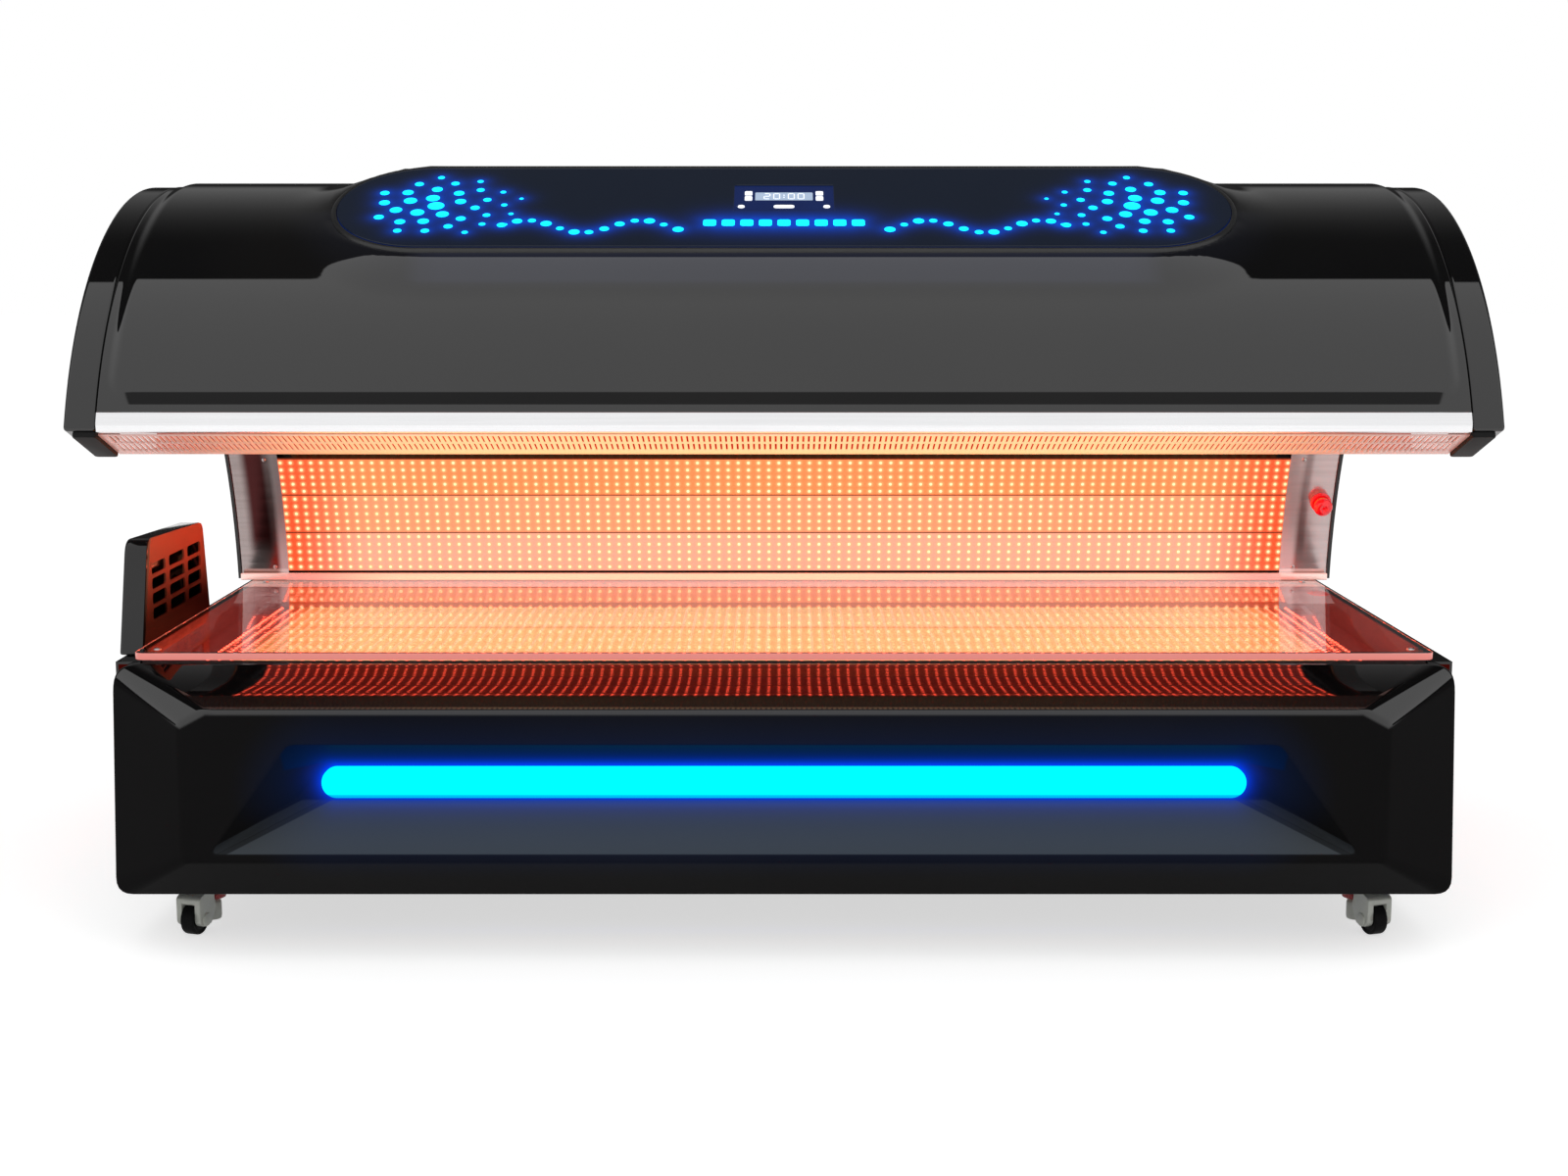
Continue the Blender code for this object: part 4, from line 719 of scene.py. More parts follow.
# Fan tower: a gloss black moulded hood at the left end, closed towards the bed by a satin plate with
# twelve slots, with a small axial fan behind it.
TOWER_ROUND = 0.020
TOWER_ROLL = 0.007
TOWER_SIDE = ((0.104, 0.4424), (0.515, 0.4424), (0.486, 0.609), (0.155, 0.619))
tower_low, tower_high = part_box("tower_cover")
plate_low, plate_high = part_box("tower_grille")


def tower_row(inset):
    """The tower's side view in y and z, drawn in by inset, with round upper corners."""
    drawn = np.array(TOWER_SIDE) + (front_y, 0)
    drawn += np.array(((1, 0.2), (-1, 0.2), (-1, -1), (1, -1))) * inset
    return np.concatenate((rounded_row(drawn, 0.004, 6)[:12], rounded_row(drawn, TOWER_ROUND, 10)[20:]))


def lit_plate(place):
    """Satin plate facing the lamps: a fine grain, and the light of the lamps painted into its colour, red and
    paler at its head, near black below.
    """
    x, y, z = place.axes()
    broad = place.noise(9, 3)
    # Painted light: the plate's head is coloured red as if lit by the lamps.
    head = (z + broad * 0.02).rise(plate_low.z + 0.045, plate_high.z + 0.010)
    return {"Base Color": head.mix((0.010, 0.003, 0.002), (0.42, 0.13, 0.07)),
            "Roughness": broad * 0.12 + 0.30, "Normal": place.noise(800, 3).bump(0.05)}


hood_steps = [(tower_low.x + 0.003, 0.010), (tower_high.x, 0.003), (tower_high.x, 0.0)]
hood_steps += [(tower_low.x + TOWER_ROLL * (1 - math.sin(a)), TOWER_ROLL * (1 - math.cos(a)))
               for a in np.linspace(0, math.pi / 2, 6)]
tower_hood = np.concatenate([rings_at(tower_row(inset), [x]) for x, inset in hood_steps])
piece("tower_hood", loft(tower_hood), cover_black, "base", ["tower_cover"], 40)
dress(finish("tower_plate", lit_plate, IOR=1.03), "tower_grille")
fan_black = finish("fan_black", speckled((0.003, 0.003, 0.003), (0.006, 0.006, 0.006), 0.6, 0.1, 500, 0.2),
                   IOR=1.03)
dress(fan_black, "tower_fan_frame", "tower_fan_rotor")

# Rear wall: a curved black pan on the base, three lit boards across it with their light painted on as glow,
# polished sheet cheeks at both ends, and a bright strip along its foot. The cheeks are held by small screws.
WALL_RADIUS = 0.720
WALL_MID = (front_y + 0.13501, 0.36980)
BOARD_LOW = 8.3
BOARD_STEP = 6.08
BOARD_GAP = 0.07
BOARD_ROWS = 5
ROW_PITCH = 0.0150
WALL_GLOW = ((0.88, 0.41, 0.285), (0.97, 0.33, 0.165), (1.0, 0.27, 0.090))
CHEEK_REFLECTED_RED = (0.075, 0.020, 0.020)
CHEEK_PAINTED_SHEEN = (0.30, 0.27, 0.265)
CHEEK_END = 1.022
CHEEK_SCREW_X = 0.960
CHEEK_SCREWS = (("low", 8.9), ("high", 26.4))
dress(finish("pan_gloss", gloss(0.1, 0.1, 0.03), IOR=1.5), "rear_wall_pan")


def wall_face(lean):
    """Way that the wall faces at a lean in degrees, which counts round the centre of its curve."""
    return np.array((0, -math.cos(math.radians(lean)), -math.sin(math.radians(lean))))


def on_wall(lean, radius=WALL_RADIUS):
    """Point of the wall at a lean: the centre of its curve, less the radius times the way it faces."""
    return np.array((0, *WALL_MID)) - wall_face(lean) * radius


def polished(s, colour, other, near, far, depth):
    """Look of a polished cheek: fine rolling lines, a painted pale sheen beside the boards, stronger at its
    foot, and a painted dark red reflection from near to far."""
    def look(place):
        made = brushed(colour, other, 0.17, 0.06, (6, 160, 160))(place)
        x, y, z = place.axes()
        across = x * s - board_high.x
        # Painted dark red reflection, and a painted pale sheen beside the boards.
        red_reflection = across.band(near, far) * z.rise(0.485, 0.540) * depth
        foot = 1 - z.rise(0.480, 0.600)
        painted_sheen = (1 - across.rise(near[0] - 0.006, near[0] + 0.006)) * (foot * 0.6 + 0.4)
        made["Base Color"] = red_reflection.mix(made["Base Color"], CHEEK_REFLECTED_RED)
        made["Emission Color"] = painted_sheen.mix(UNLIT, CHEEK_PAINTED_SHEEN)
        return made
    return look


def lit_strip(place):
    """Look of the strip along the foot: anodised, with the light of the boards over it painted on as a glow.
    """
    made = brushed((0.90, 0.72, 0.68), (0.80, 0.62, 0.58), 0.28, 0.08, (3, 700, 700))(place)
    made["Emission Color"] = place.noise(5, 2).mix((0.40, 0.20, 0.165), (0.44, 0.21, 0.165))
    return made


for k, tone in enumerate(WALL_GLOW):
    foot = on_wall(BOARD_LOW + BOARD_STEP * k)
    head = on_wall(BOARD_LOW + BOARD_STEP * (k + 1) - BOARD_GAP)
    way = (head - foot) / np.linalg.norm(head - foot)
    step = way * ROW_PITCH
    first = (foot + head) / 2 - step * (BOARD_ROWS - 1) / 2
    edges = (float((foot - first) @ way), float((head - first) @ way))
    look = lit_board(first, step, board_high.x, (tone, EDGE_GLOW_RED, HALO_YELLOW), edges)
    dress(finish("rear_board_%d" % (k + 1), look, Base_Color=BOARD_BASE), "rear_led_board_%d" % (k + 1))
    domes = lamp_domes(lamp_grid(LAMP_COLUMNS, BOARD_ROWS, first, step), (0, -way[2], way[1]))
    piece("rear_lamps_%d" % (k + 1), domes, lens, "base", turned_right=True)
foot_strip = finish("foot_strip", lit_strip, Metallic=0.8)
dress(foot_strip, "rear_wall_trim")
strip_low, strip_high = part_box("rear_wall_trim")
strip_row = rounded_row([(strip_low.y, strip_low.z), (strip_low.y, strip_high.z),
                         (strip_high.y, strip_high.z), (strip_high.y, strip_low.z)], 0.0015)
# Both cheeks are one polished sheet; the right one's paler colour and fainter dark reflection are painted
# light, for the light that falls on it.
cheek_looks = (polished(-1, (0.40, 0.33, 0.32), (0.34, 0.28, 0.27), (0.016, 0.034), (0.056, 0.076), 1.0),
               polished(1, (0.64, 0.57, 0.56), (0.56, 0.50, 0.49), (0.026, 0.034), (0.038, 0.048), 0.45))
for (side, s), cheek_look, metal in zip(SIDES, cheek_looks, (1.0, 0.65)):
    dress(finish("polished_cheek_" + side, cheek_look, Metallic=metal), "rear_cheek_" + side)
    rings = rings_at(strip_row, (s * (strip_high.x + 0.0003), s * CHEEK_END))
    piece("foot_strip_" + side, loft(rings), foot_strip, "base")
    for tag, lean in CHEEK_SCREWS:
        spot = on_wall(lean, WALL_RADIUS - 0.0002) + (s * CHEEK_SCREW_X, 0, 0)
        piece("cheek_screw_%s_%s" % (side, tag), screws([spot], wall_face(lean), 0.0040), screw_steel,
              "base")

# Emergency stop on the right cheek: a red collar, a yellow ring on the stem, and a red mushroom head.
# All are glossy moulded plastic; the head is turned to let the stem spring out.
STOP_LEAN = 19.3
STOP_X = 1.001
stop_face = wall_face(STOP_LEAN)
stop_at = on_wall(STOP_LEAN, WALL_RADIUS - 0.0006) + (STOP_X, 0, 0)
# The red parts carry a faint painted red glow as well as their colour.
stop_red = finish("stop_red", speckled((0.90, 0.006, 0.012), (0.80, 0.005, 0.010), 0.16, 0.1, 300, 0.05),
                  IOR=1.5, Coat_Weight=0.5, Emission_Color=(1, 0.004, 0.016), Emission_Strength=0.28)
stop_yellow = finish("stop_yellow", speckled((0.80, 0.36, 0.02), (0.70, 0.30, 0.02), 0.25, 0.1, 300, 0.05),
                     IOR=1.5)
collar = rounded_row([(0.0090, 0), (0.0190, 0), (0.0190, 0.0042), (0.0174, 0.0060), (0.0090, 0.0060)], 0.0012)
stem = rounded_row([(0.0020, 0), (0.0085, 0), (0.0085, 0.0125), (0.0150, 0.0125), (0.0150, 0.0165),
                    (0.0020, 0.0165)], 0.0010)
mushroom = rounded_row([(0.0020, 0.0169), (0.0150, 0.0169), (0.0173, 0.0212), (0.0166, 0.0268),
                        (0.0120, 0.0302), (0.0060, 0.0310), (0.0055, 0.0296), (0.0020, 0.0296)], 0.0028, 6)
for name, row, sides, material, body, slot, node in (
        ("stop_collar", collar, 48, stop_red, "base", "stop_red", "estop_collar"),
        ("stop_ring", stem, 48, stop_yellow, "estop_stem", "stop_yellow", "estop_stem"),
        ("stop_head", mushroom, 60, stop_red, "estop_head", "stop_red", "estop_head")):
    piece(name, loft(stood(turned(row, sides), stop_face, stop_at), True), material, body, [node])

# Hinges, ribs and gas springs: laser cut steel brackets and arches, bolted to the base and the canopy,
# and chromed rods that slide in the black cylinders.
cut_steel = finish("cut_steel", brushed((0.50, 0.51, 0.52), (0.40, 0.41, 0.42), 0.38, 0.14, (300, 6, 300)),
                   Metallic=1.0)
chrome = finish("rod_chrome", brushed((0.75, 0.75, 0.76), (0.66, 0.66, 0.67), 0.12, 0.06, (300, 300, 20)),
                Metallic=1.0)
dress(cut_steel, "hinge_bracket_left", "hinge_bracket_right", "canopy_rib_left", "canopy_rib_right")
dress(chrome, "gas_rod_left", "gas_rod_right")

# Canopy lining: three lit boards, each bent once, set round the tunnel under the shell.
# They carry the same lamps as the bed, over boards whose only light is their spill, painted on as glow.
HINGE = np.array((0, front_y + 0.960, 0.380))
OPEN = -math.radians(19.27)
RIM_Z = 0.478
ROOF_Z = 0.894
RIM_Y = front_y - 0.0245
OVAL = 0.316
OVAL_Y = RIM_Y + 0.128 + OVAL
LINING_END = 47
LINING_HALF = 0.992
LINING_COLUMNS = 106
LINING_GLOW = ((0.50, 0.016, 0.008), (0.42, 0.012, 0.006), (0.9, 0.07, 0.02))


def opened(points):
    """Points drawn with the canopy shut, turned up about the hinge to where it stands open."""
    offset = np.asarray(points, float) - HINGE
    c, d = math.cos(OPEN), math.sin(OPEN)
    return np.stack((offset[..., 0], offset[..., 1] * c - offset[..., 2] * d,
                     offset[..., 1] * d + offset[..., 2] * c), -1) + HINGE


def oval(angle, reach=OVAL, roof=ROOF_Z):
    """The shut tunnel's outline in y and z, by angles in degrees counted up from the rear."""
    angle = np.radians(angle)
    return np.stack((OVAL_Y + reach * np.cos(angle), RIM_Z + (roof - RIM_Z) * np.sin(angle)), -1)


lining = opened(np.column_stack((np.zeros(7), oval(np.linspace(180, LINING_END, 7)))))
for k in range(3):
    leaves = []
    for near, far in zip(lining[2 * k:2 * k + 2], lining[2 * k + 1:2 * k + 3]):
        length = float(np.linalg.norm(far - near))
        way = (far - near) / length
        step = way * LAMP_PITCH
        count = int((length - 0.006) / LAMP_PITCH)
        first = (near + far) / 2 - step * (count - 1) / 2
        leaves.append(lamp_domes(lamp_grid(LINING_COLUMNS, count, first, step), (0, way[2], -way[1])))
    lit = finish("lining_board_%d" % (k + 1), lit_board(first, step, LINING_HALF, LINING_GLOW),
                 Base_Color=BOARD_BASE)
    dress(lit, "canopy_led_board_%d" % (k + 1))
    piece("lining_lamps_%d" % (k + 1), gathered(*leaves), lens, "canopy", turned_right=True)

# Canopy shell: one large moulded skin in gloss black, arched over the lining. A raised field with a
# filleted step covers most of it, and it swells into a shoulder round the opening for the control panel.
SHELL_HALF = 1.0486
SHELL_DEEP = 1.157
CROWN_Z = 1.062
CROWN_BACK = 0.557
TAIL_Z = 0.721
TRIM_TALL = 0.0285
FIELD_RAISE = 0.006
FIELD_ROUND = 0.045
FIELD_STEP = 0.021
SHOULDER = 0.085
POD_HALF = 0.740
POD_WIDE = 0.156
POD_TILT = math.radians(46.3)
POD_OUT = 0.017
POD_UP = 0.014
rim, crown, tail = np.array(((RIM_Y, RIM_Z), (RIM_Y + CROWN_BACK * SHELL_DEEP, CROWN_Z),
                             (RIM_Y + SHELL_DEEP, TAIL_Z)))
bulge = CROWN_Z - RIM_Z
front_curve = np.array((rim, rim + (0, 0.51 * bulge), crown - (0.33 * SHELL_DEEP, 0), crown))
rear_curve = np.array((crown, crown + (0.26 * SHELL_DEEP, 0), tail + (0, 0.34 * bulge), tail))
pod_slope = np.array((math.cos(POD_TILT), math.sin(POD_TILT)))
pod_out = np.array((-math.sin(POD_TILT), math.cos(POD_TILT)))
pod_mid = np.array((1, 3, 3, 1)) @ front_curve / 8 + pod_out * POD_OUT + pod_slope * POD_UP


def arch(samples):
    """Outline of the shut canopy in y and z from rim to tail, as two cubic curves meeting at the crown.
    Gives points evenly spread by length, the outward normals there, and the length."""
    t = np.linspace(0, 1, 500)[:, None]
    weights = np.hstack(((1 - t) ** 3, 3 * (1 - t) ** 2 * t, 3 * (1 - t) * t ** 2, t ** 3))
    path = np.concatenate((weights @ front_curve, (weights @ rear_curve)[1:]))
    run = np.concatenate(([0], np.cumsum(np.linalg.norm(np.diff(path, axis=0), axis=1))))
    goal = samples * run[-1]
    spots = np.column_stack([np.interp(goal, run, path[:, k]) for k in range(2)])
    slope = np.gradient(path, run, axis=0)
    slope = np.column_stack([np.interp(goal, run, slope[:, k]) for k in range(2)])
    slope /= np.linalg.norm(slope, axis=1)[:, None]
    return spots, np.column_stack((-slope[:, 1], slope[:, 0])), run[-1]


def eased(t):
    """Smooth step from 0 to 1."""
    t = np.clip(t, 0, 1)
    return t * t * (3 - 2 * t)


def shell_stand(x, share, spots, length):
    """How far the skin stands off the plain arch: the raised field with round corners, and the shoulder,
    which leaves the panel's edge steeply and runs out as (1 - t) ** 2. Also gives how far in the field
    a point lies along the arch, how far from the panel's edge, and how far up the panel's slope."""
    inner_x = SHELL_HALF - 0.010 - np.abs(x)
    inner_s = np.minimum(share * length - 0.039, (0.955 - share) * length * 0.6)
    corner = FIELD_ROUND - np.hypot(np.maximum(FIELD_ROUND - inner_x, 0),
                                    np.maximum(FIELD_ROUND - inner_s, 0))
    field = eased(corner / FIELD_STEP) * FIELD_RAISE
    rel = spots - pod_mid
    across = (rel @ pod_slope)[:, None]
    under = -(rel @ pod_out)[:, None]
    away = np.hypot(np.maximum(np.abs(x) - (POD_HALF - POD_WIDE), 0), across) - POD_WIDE
    sunk = 0.007 + 0.012 * eased(-away / 0.03)
    reach = np.clip(away / SHOULDER, 0, 1)
    shoulder = np.maximum(under - sunk - field, 0) * (1 - reach) ** 2
    return field + np.where(away > -0.12, shoulder, 0), inner_s, away, across


def paint(made, name, values):
    """Puts one number on each point of a piece, for its finish to read."""
    numbers = made.data.attributes.new(name, 'FLOAT', 'POINT')
    numbers.data.foreach_set("value", values.astype(np.float32).ravel())


def shell_look(place):
    """Shell's gloss: its bright coat is thinner on the lower step of the field, and the panel's light
    is painted on it below the panel as a faint glow."""
    look = gloss(0.03, 0.05, 0.012)(place)
    spill = place.node("Attribute", {"attribute_name": "spill"}, None, "Fac")
    look["Emission Color"] = spill.mix(UNLIT, (0.013, 0.015, 0.027))
    look["Coat Weight"] = 1 - place.node("Attribute", {"attribute_name": "step"}, None, "Fac") * 0.80
    return look


ends = SHELL_HALF - np.concatenate((np.linspace(0, 0.075, 36), np.linspace(0.085, 0.42, 26)))
columns = np.concatenate((-ends, np.linspace(-0.60, 0.60, 41), ends[::-1]))
trim_share = TRIM_TALL / arch(np.zeros(1))[2]
shares = np.concatenate((np.linspace(trim_share, 0.043, 56), np.linspace(0.046, 0.11, 24),
                         np.linspace(0.115, 0.55, 80), np.linspace(0.56, 1, 46)))
skin_spots, skin_out, skin_length = arch(shares)
stand, inner_s, panel_gap, up_panel = shell_stand(columns[None], shares[:, None], skin_spots, skin_length)
skin = np.empty(stand.shape + (3,))
skin[..., 0] = columns[None]
skin[..., 1:] = skin_spots[:, None] + skin_out[:, None] * stand[..., None]
skin_faces = rows_of_quads(*stand.shape)[:, ::-1]
skin_faces = skin_faces[~(panel_gap < -0.030).ravel()[skin_faces].all(1)]
shell_gloss = finish("shell_gloss", shell_look, IOR=1.13, Coat_IOR=1.62, Coat_Roughness=0.02)
canopy_skin = piece("canopy_skin", (opened(skin).reshape(-1, 3), [skin_faces]), shell_gloss, "canopy",
                    ["canopy_shell"], 60, True)
wide = np.abs(columns)[None]
below = eased(-up_panel / 0.02)
# Painted glow of the panel's light on the shell below it.
spill = eased((0.060 - panel_gap) / 0.012) * below * eased((0.590 - wide) / 0.03) * 0.8
paint(canopy_skin, "spill", spill + eased((0.085 - panel_gap) / 0.085) * below * 0.2)
step_end = SHELL_HALF - 0.047 + inner_s * 0.3 - wide
paint(canopy_skin, "step", eased((inner_s - 0.001) / 0.0012) * eased((FIELD_STEP - 0.001 - inner_s) / 0.0012)
      * eased(step_end / 0.004))
thicken(canopy_skin, 0.004)

# End caps: thick gloss black arches that close the canopy at both ends, with rounded edges.
# Each stands on a satin foot at the rim, set in from the outside and held by a screw.
CAP_X = (SHELL_HALF + 0.0004, 1.099)
CAP_ROUND = 0.006
CAP_PROUD = 0.003
CAP_LOW = RIM_Z - 0.001
FOOT_X = 1.0865
FOOT_Y = (RIM_Y + 0.002, RIM_Y + 0.126)
FOOT_TALL = 0.010
cap_out, cap_normals, _ = arch(np.linspace(0.005, 1, 90))
cap_out = cap_out + cap_normals * CAP_PROUD
cap_in = oval(np.linspace(180, LINING_END, 60), OVAL - 0.0005, ROOF_Z + 0.0025)[1:]
cap_row = np.concatenate(([(cap_out[0, 0], CAP_LOW)], cap_out,
                          [(RIM_Y + SHELL_DEEP - 0.06, TAIL_Z), oval(LINING_END) + (0.054, 0.036)],
                          cap_in[::-1], [(FOOT_Y[1], CAP_LOW)]))
foot_satin = finish("foot_satin", speckled((0.006, 0.006, 0.006), (0.010, 0.010, 0.010), 0.6, 0.1, 420, 0.2),
                    IOR=1.25)
cap_gloss = finish("cap_gloss", gloss(0.03, 0.05, 0.012), IOR=1.62)
for side, s in SIDES:
    cap = opened(rings_at(cap_row, [s * x for x in CAP_X]))
    end_cap = piece("end_cap_" + side, loft(cap), cap_gloss, "canopy",
                    ["canopy_end_cap_" + side], 60)
    soft = end_cap.modifiers.new("rounded", 'BEVEL')
    soft.width = CAP_ROUND
    soft.segments = 4
    soft.limit_method = 'ANGLE'
    soft.angle_limit = math.radians(40)
    soft.harden_normals = True
    foot = slab((FOOT_X - CAP_X[0]) / 2, (FOOT_Y[1] - FOOT_Y[0]) / 2, 0.007, FOOT_TALL, 0.0025, 5, 4, True)
    foot = foot + (s * (FOOT_X + CAP_X[0]) / 2, (FOOT_Y[0] + FOOT_Y[1]) / 2, CAP_LOW - FOOT_TALL + 0.001)
    piece("end_foot_" + side, loft(opened(foot)), foot_satin, "canopy")
    spot = opened(np.array((s * FOOT_X, FOOT_Y[0] + 0.016, CAP_LOW - FOOT_TALL / 2 + 0.001)))
    piece("end_foot_screw_" + side, screws([spot], (s, 0, 0), 0.0032), screw_steel, "canopy")

# Front trim: a brushed anodised extrusion clipped over the shell's front edge, and behind it the rim
# plate, bright sheet punched with long slots that let the lining breathe, with the light below painted on it.
SLOT_PITCH = 0.0085
SLOT_WIDE = 0.0032
SLOT_LONG = 0.0400
SLOT_APART = 0.006
SLOT_ROWS = 2
SLOT_COLUMNS = 244
RIM_PLATE_Y = (RIM_Y + 0.0125, RIM_Y + 0.1275)
RIM_PLATE_Z = RIM_Z - 0.0024


def washed(place):
    """Bright sheet over the lamps: fine rolling lines, and their light painted on as glow, salmon along
    the middle, dimmer and redder towards the ends."""
    x, y, z = place.axes()
    lines = place.noise(1.0, 3, (3, 500, 500))
    ends = (abs(x) + place.noise(3, 2) * 0.05).rise(0.50, 1.04)
    return {"Base Color": lines.mix((0.50, 0.46, 0.45), (0.42, 0.39, 0.38)),
            "Roughness": lines * 0.12 + 0.34,
            "Emission Color": ends.mix((0.82, 0.43, 0.19), (0.30, 0.11, 0.085))}


trim_row = rounded_row([(-0.0035, 0.0075), (-0.0042, 0.0120), (-0.0036, 0.028), (0.012, 0.028),
                        (0.012, -0.002), (0.0015, -0.002)], 0.0012, 4) + (RIM_Y, RIM_Z)
bright = finish("bright_anodised", brushed((0.87, 0.87, 0.88), (0.81, 0.81, 0.82), 0.28, 0.08, (3, 700, 700)),
                Metallic=1.0)
trim = opened(rings_at(trim_row, (-SHELL_HALF, SHELL_HALF)))
piece("front_trim", loft(trim), bright, "canopy", ["canopy_trim"])
slot_x = (np.arange(SLOT_COLUMNS) - (SLOT_COLUMNS - 1) / 2) * SLOT_PITCH
rim_x = np.sort(np.concatenate(((-SHELL_HALF, SHELL_HALF), slot_x - SLOT_WIDE / 2, slot_x + SLOT_WIDE / 2)))
slot_y = RIM_Y + 0.017 + np.arange(SLOT_ROWS) * (SLOT_LONG + SLOT_APART)
rim_y = np.sort(np.concatenate((RIM_PLATE_Y, slot_y, slot_y + SLOT_LONG)))
grid_y, grid_x = np.meshgrid(rim_y, rim_x, indexing="ij")
rim_points = np.stack((grid_x, grid_y, np.full(grid_x.shape, RIM_PLATE_Z)), -1)
rim_faces = rows_of_quads(len(rim_y), len(rim_x))
punched_row = (np.arange(len(rim_y) - 1) % 2 == 1)[:, None]
punched = (punched_row & (np.arange(len(rim_x) - 1) % 2 == 1)[None]).ravel()
rim_plate = piece("rim_plate", (opened(rim_points).reshape(-1, 3), [rim_faces[~punched]]),
                  finish("rim_sheet", washed, Metallic=0.4), "canopy",
                  ["canopy_rim_plate"], 30, True)
thicken(rim_plate, 0.002)

# Control panel: a satin housing let into the shell, a glossy smoked front lit in blue from behind
# through a printed design of dots, and a window with the display and its keys.
HOUSING_DEEP = 0.050
HOUSING_IN = 0.0098
RIM_IN = 0.010
WINDOW = (0.082, -0.019, 0.078)
LENS_T = 0.0010
PRINT_W = LENS_T + 0.0002
CLUSTER_U = 0.552
BAR_V = -0.062
KEY_U = 0.0585
DIGIT_V = 0.039
SEGMENTS = {"a": (0, 1, 0), "b": (1, 0.5, 1), "c": (1, -0.5, 1), "d": (0, -1, 0), "e": (-1, -0.5, 1),
            "f": (-1, 0.5, 1), "g": (0, 0, 0)}
DIGITS = {"0": "abcdef", "2": "abdeg"}


def on_pod(points):
    """Points in (u along the panel, v up its slope, w out of it) to where the panel is."""
    points = np.asarray(points, float)
    flat = pod_mid + points[..., 1:2] * pod_slope + points[..., 2:3] * pod_out
    return opened(np.concatenate((points[..., :1], flat), -1))


def dot_layout():
    """Centres and radii of the printed dots: a spiral cluster at each end and a wave between them.
    Dot n of a cluster lies at the golden angle times n, at a distance that grows with its root."""
    n = np.arange(34)
    turn = n * math.pi * (3 - math.sqrt(5))
    far = 0.0195 * np.sqrt(n + 0.6)
    spiral = np.column_stack((far * 1.15 * np.cos(turn), far * np.sin(turn) * 0.98))
    size = 0.0115 - 0.0062 * (n / 33) ** 0.6 + 0.0022 * np.cos(n * 2.4)
    t = np.linspace(0.17, 0.455, 13)
    wave = np.column_stack((t, -0.075 + 0.022 * np.sin(t * 34)))
    wave_size = 0.0062 + 0.0030 * np.cos(t * 57) ** 2
    spots = [spiral * (-1, 1) + (-CLUSTER_U, 0), spiral + (CLUSTER_U, 0), wave, wave * (-1, 1)]
    return np.concatenate(spots), np.concatenate([size, size, wave_size, wave_size])


def smoked(place):
    """Smoked front: near black, with a faint painted navy glow all over and painted blue light spilling round
    the printed design.
    """
    halo = place.node("Attribute", {"attribute_name": "halo"}, None, "Fac")
    return {"Base Color": place.noise(4, 2).mix((0.004, 0.005, 0.008), (0.006, 0.007, 0.010)),
            "Emission Color": halo.mix((0.0040, 0.0075, 0.0165), (0.0, 0.060, 0.60)),
            "Roughness": place.noise(3, 4).rise(0.4, 0.8) * 0.06 + 0.16}


def backlit(low, high, scale, rough, grain):
    """Look of print, display or keys lit from behind: slowly uneven light, and a trace of grain."""
    def look(place):
        return {"Emission Color": place.noise(scale, 2).mix(low, high),
                "Roughness": place.noise(grain, 1) * 0.1 + rough}
    return look


def window_glass(place):
    """Window behind the front: deep navy, a little uneven."""
    return {"Base Color": place.noise(20, 2).mix((0.004, 0.008, 0.03), (0.006, 0.012, 0.04)),
            "Emission Color": place.noise(9, 2).mix((0.0008, 0.006, 0.05), (0.001, 0.010, 0.08)),
            "Roughness": place.noise(60, 2) * 0.1 + 0.12}


housing_steps = ((0.0, -HOUSING_DEEP), (0.0, -0.004), (0.0012, -0.0012), (0.004, 0.0006), (0.0075, 0.0008),
                 (0.0092, 0.0002), (HOUSING_IN, -0.0026), (HOUSING_IN, -HOUSING_DEEP))
housing_rows = [level(lozenge(POD_HALF - inset, POD_WIDE - inset, POD_WIDE - inset - 0.001, 40), height)
                for inset, height in housing_steps]
piece("panel_housing", loft(on_pod(housing_rows), True), satin_black, "canopy",
      ["control_housing"], 30)
dots, dot_sizes = dot_layout()
bars = (np.arange(9) - 4) * 0.0300
column_in = POD_HALF - POD_WIDE
lens_bend = np.linspace(0, math.pi / 2, 50)[1:]
lens_half = POD_WIDE - RIM_IN - 0.0006
middle_u = np.unique(np.concatenate((np.linspace(0, column_in, 120), [WINDOW[0]])))
half_u = np.concatenate((middle_u, column_in + lens_half * np.sin(lens_bend)))
half_h = np.concatenate((np.full(len(middle_u), lens_half), lens_half * np.cos(lens_bend)))
lens_u = np.concatenate((-half_u[:0:-1], half_u))
lens_h = np.maximum(np.concatenate((half_h[:0:-1], half_h)), 0.0006)
lens_v = np.unique(np.concatenate((np.linspace(-1, 1, 61), [WINDOW[1] / lens_half, WINDOW[2] / lens_half])))
lens_shape = (len(lens_v), len(lens_u))
lens_grid = np.stack((np.broadcast_to(lens_u[None], lens_shape), lens_v[:, None] * lens_h[None],
                      np.full(lens_shape, LENS_T + 0.0003)), -1)
lens_faces = rows_of_quads(*lens_shape)
flat = lens_grid.reshape(-1, 3)[:, :2]
centre_u, centre_v = flat[lens_faces].mean(1).T
in_window = (np.abs(centre_u) < WINDOW[0]) & (centre_v > WINDOW[1]) & (centre_v < WINDOW[2])
smoked_front = finish("smoked_front", smoked, IOR=1.3)
panel_front = piece("panel_front", (on_pod(lens_grid).reshape(-1, 3), [lens_faces[~in_window]]), smoked_front,
                    "canopy", (), 30, True)
dot_reach = np.linalg.norm(flat[:, None] - dots[None], axis=2) - dot_sizes[None]
bar_reach = np.hypot(np.maximum(np.abs(flat[:, None, 0] - bars) - 0.010, 0),
                     np.maximum(np.abs(flat[:, 1:] - BAR_V) - 0.011, 0))
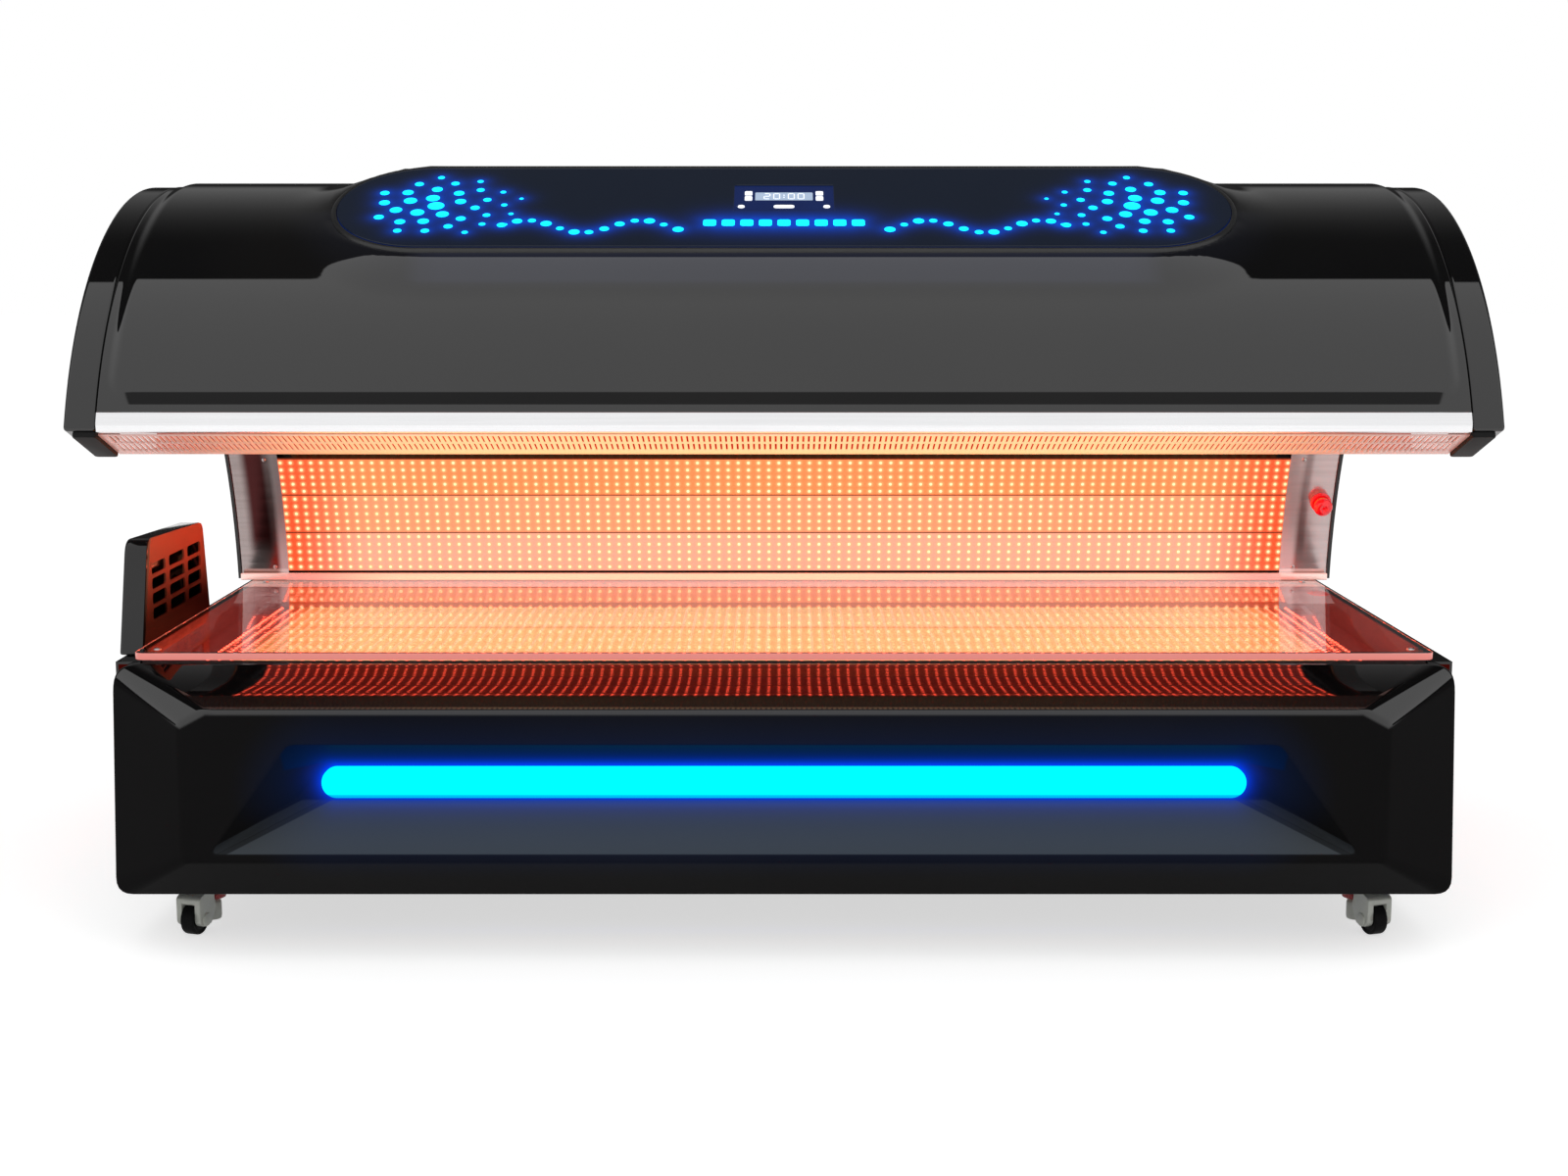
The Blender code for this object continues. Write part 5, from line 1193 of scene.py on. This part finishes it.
# Painted halo of blue light round the dots and bars.
halo = np.exp(-np.maximum(dot_reach, 0) / 0.0085).sum(1) * 0.6 + np.exp(-bar_reach / 0.014).sum(1) * 0.55
paint(panel_front, "halo", np.clip(halo, 0, 1))
thicken(panel_front, LENS_T)
print_light = finish("lit_print", backlit((0, 0.34, 1.0), (0, 0.46, 1.0), 14, 0.3, 200),
                     Base_Color=(0, 0.2, 0.25), Emission_Strength=3.6)
dot_angle = np.linspace(0, 2 * math.pi, 16, endpoint=False)
dot_round = np.column_stack((np.cos(dot_angle), np.sin(dot_angle)))
dot_steps = ((1.0, 0.0), (1.0, 0.0003), (0.9, 0.0005))
printed = [loft(on_pod([level(centre + dot_round * size * share, PRINT_W + up) for share, up in dot_steps]))
           for centre, size in zip(dots, dot_sizes)]
bar_print = slab(0.0105, 0.0110, 0.0045, 0.0007, 0.0002, 5, 2)
printed += [loft(on_pod(bar_print + (u, BAR_V, PRINT_W))) for u in bars]
piece("panel_print", gathered(*printed), print_light, "canopy")
dress(finish("window_glass", window_glass), "control_lens")
dress(finish("display", backlit((0.36, 0.46, 0.62), (0.44, 0.54, 0.70), 40, 0.1, 100),
             Base_Color=(0.05, 0.06, 0.08)), "control_screen")
white_key = finish("white_key", backlit((0.78, 0.82, 0.90), (0.9, 0.93, 1.0), 90, 0.25, 150),
                   Base_Color=(0.6, 0.6, 0.6))
dress(white_key, "start_key", "key_left", "key_right")
small_key = slab(0.0062, 0.0075, 0.0022, 0.0008, 0.0003, 4, 2)
small = [loft(on_pod(small_key + (s * KEY_U, v, 0.0001))) for s in (-1, 1) for v in (0.0300, 0.0490)]
piece("menu_keys", gathered(*small), white_key, "canopy")
strokes = [slab(*size, 0.0005, 0.0003, 0.0001, 3, 2) for size in ((0.0036, 0.0009), (0.0008, 0.0042))]
digits = []
for u, digit in ((-0.028, "2"), (-0.012, "0"), (0.012, "0"), (0.028, "0")):
    for su, sv, upright in [SEGMENTS[segment] for segment in DIGITS[digit]]:
        digits.append(loft(on_pod(strokes[upright] + (u + su * 0.0048, DIGIT_V + sv * 0.0098, 0.0))))
colon_dot = slab(0.0010, 0.0014, 0.0006, 0.0003, 0.0001, 3, 2)
digits += [loft(on_pod(colon_dot + (0, v, 0.0))) for v in (DIGIT_V - 0.004, DIGIT_V + 0.004)]
piece("display_digits", gathered(*digits), white_key, "canopy")

# Studio: a pale floor, one broad soft lamp over the front, a white room with a dark ceiling behind.
# The camera stands where the photograph was taken.
STUDIO_HALF = 40.0
EYE = (0, front_y - 3.37, 1.055)
EYE_TILT = math.radians(81.713)
EYE_LENS = 51.75
CEILING_EDGE = (1.648, 1.662)
REAR_LIGHT = ((1.95, 2.65), (2.75, 2.90))
scene = bpy.context.scene
floor_mesh = bpy.data.meshes.new("floor")
floor_corners = [(x * STUDIO_HALF, y * STUDIO_HALF, 0) for x, y in ((-1, -1), (1, -1), (1, 1), (-1, 1))]
floor_mesh.from_pydata(floor_corners, [], [(0, 1, 2, 3)])
floor = bpy.data.objects.new("floor", floor_mesh)
scene.collection.objects.link(floor)


def seen_by(place):
    """1 for the eye, for gloss and for what is seen through glass, each by itself."""
    kinds = ("Camera", "Glossy", "Transmission")
    return [place.node("LightPath", None, None, "Is %s Ray" % kind) for kind in kinds]


def pale_floor(place):
    """Pale floor, shown white to the eye, to gloss and through glass, and still holding the shadow."""
    camera_ray, glossy_ray, through_ray = seen_by(place)
    return {"Emission Color": (camera_ray + glossy_ray + through_ray).mix(UNLIT, (0.62, 0.62, 0.62)),
            "Base Color": place.noise(3, 2).mix((0.72, 0.72, 0.72), (0.74, 0.74, 0.74))}


floor_mesh.materials.append(finish("pale_floor", pale_floor, Roughness=0.9, Specular_IOR_Level=0.0))
world = bpy.data.worlds.new("studio")
scene.world = world
world.use_nodes = True
background = world.node_tree.nodes["Background"].inputs
sky = Wire(world.node_tree)
_, way_y, way_z = sky.node("TexCoord", None, None, "Generated").axes()
round_up = way_z.math("ARCTAN2", way_y * -1.0)
room = (1 - round_up.rise(*CEILING_EDGE)) + round_up.band(*REAR_LIGHT) * 0.16 + 0.02
camera_ray, glossy_ray, through_ray = seen_by(sky)
open_ray = camera_ray + through_ray
sky.feed(open_ray + glossy_ray * room + (1 - open_ray - glossy_ray) * 0.55, background["Strength"])
sky.feed((1, 1, 1), background["Color"])
lamp = bpy.data.lights.new("softbox", 'AREA')
lamp.shape = 'RECTANGLE'
lamp.size = 6.0
lamp.size_y = 4.0
lamp.energy = 70.0
softbox = bpy.data.objects.new("softbox", lamp)
scene.collection.objects.link(softbox)
softbox.location = (0, -3.0, 4.6)
softbox.rotation_euler = (math.radians(32), 0, 0)
softbox.visible_camera = False
softbox.visible_glossy = False
camera = bpy.data.cameras.new("camera")
camera.lens = EYE_LENS
camera.sensor_width = 36.0
viewer = bpy.data.objects.new("camera", camera)
scene.collection.objects.link(viewer)
viewer.location = EYE
viewer.rotation_euler = (EYE_TILT, 0, 0)
scene.camera = viewer
scene.view_settings.view_transform = 'Standard'
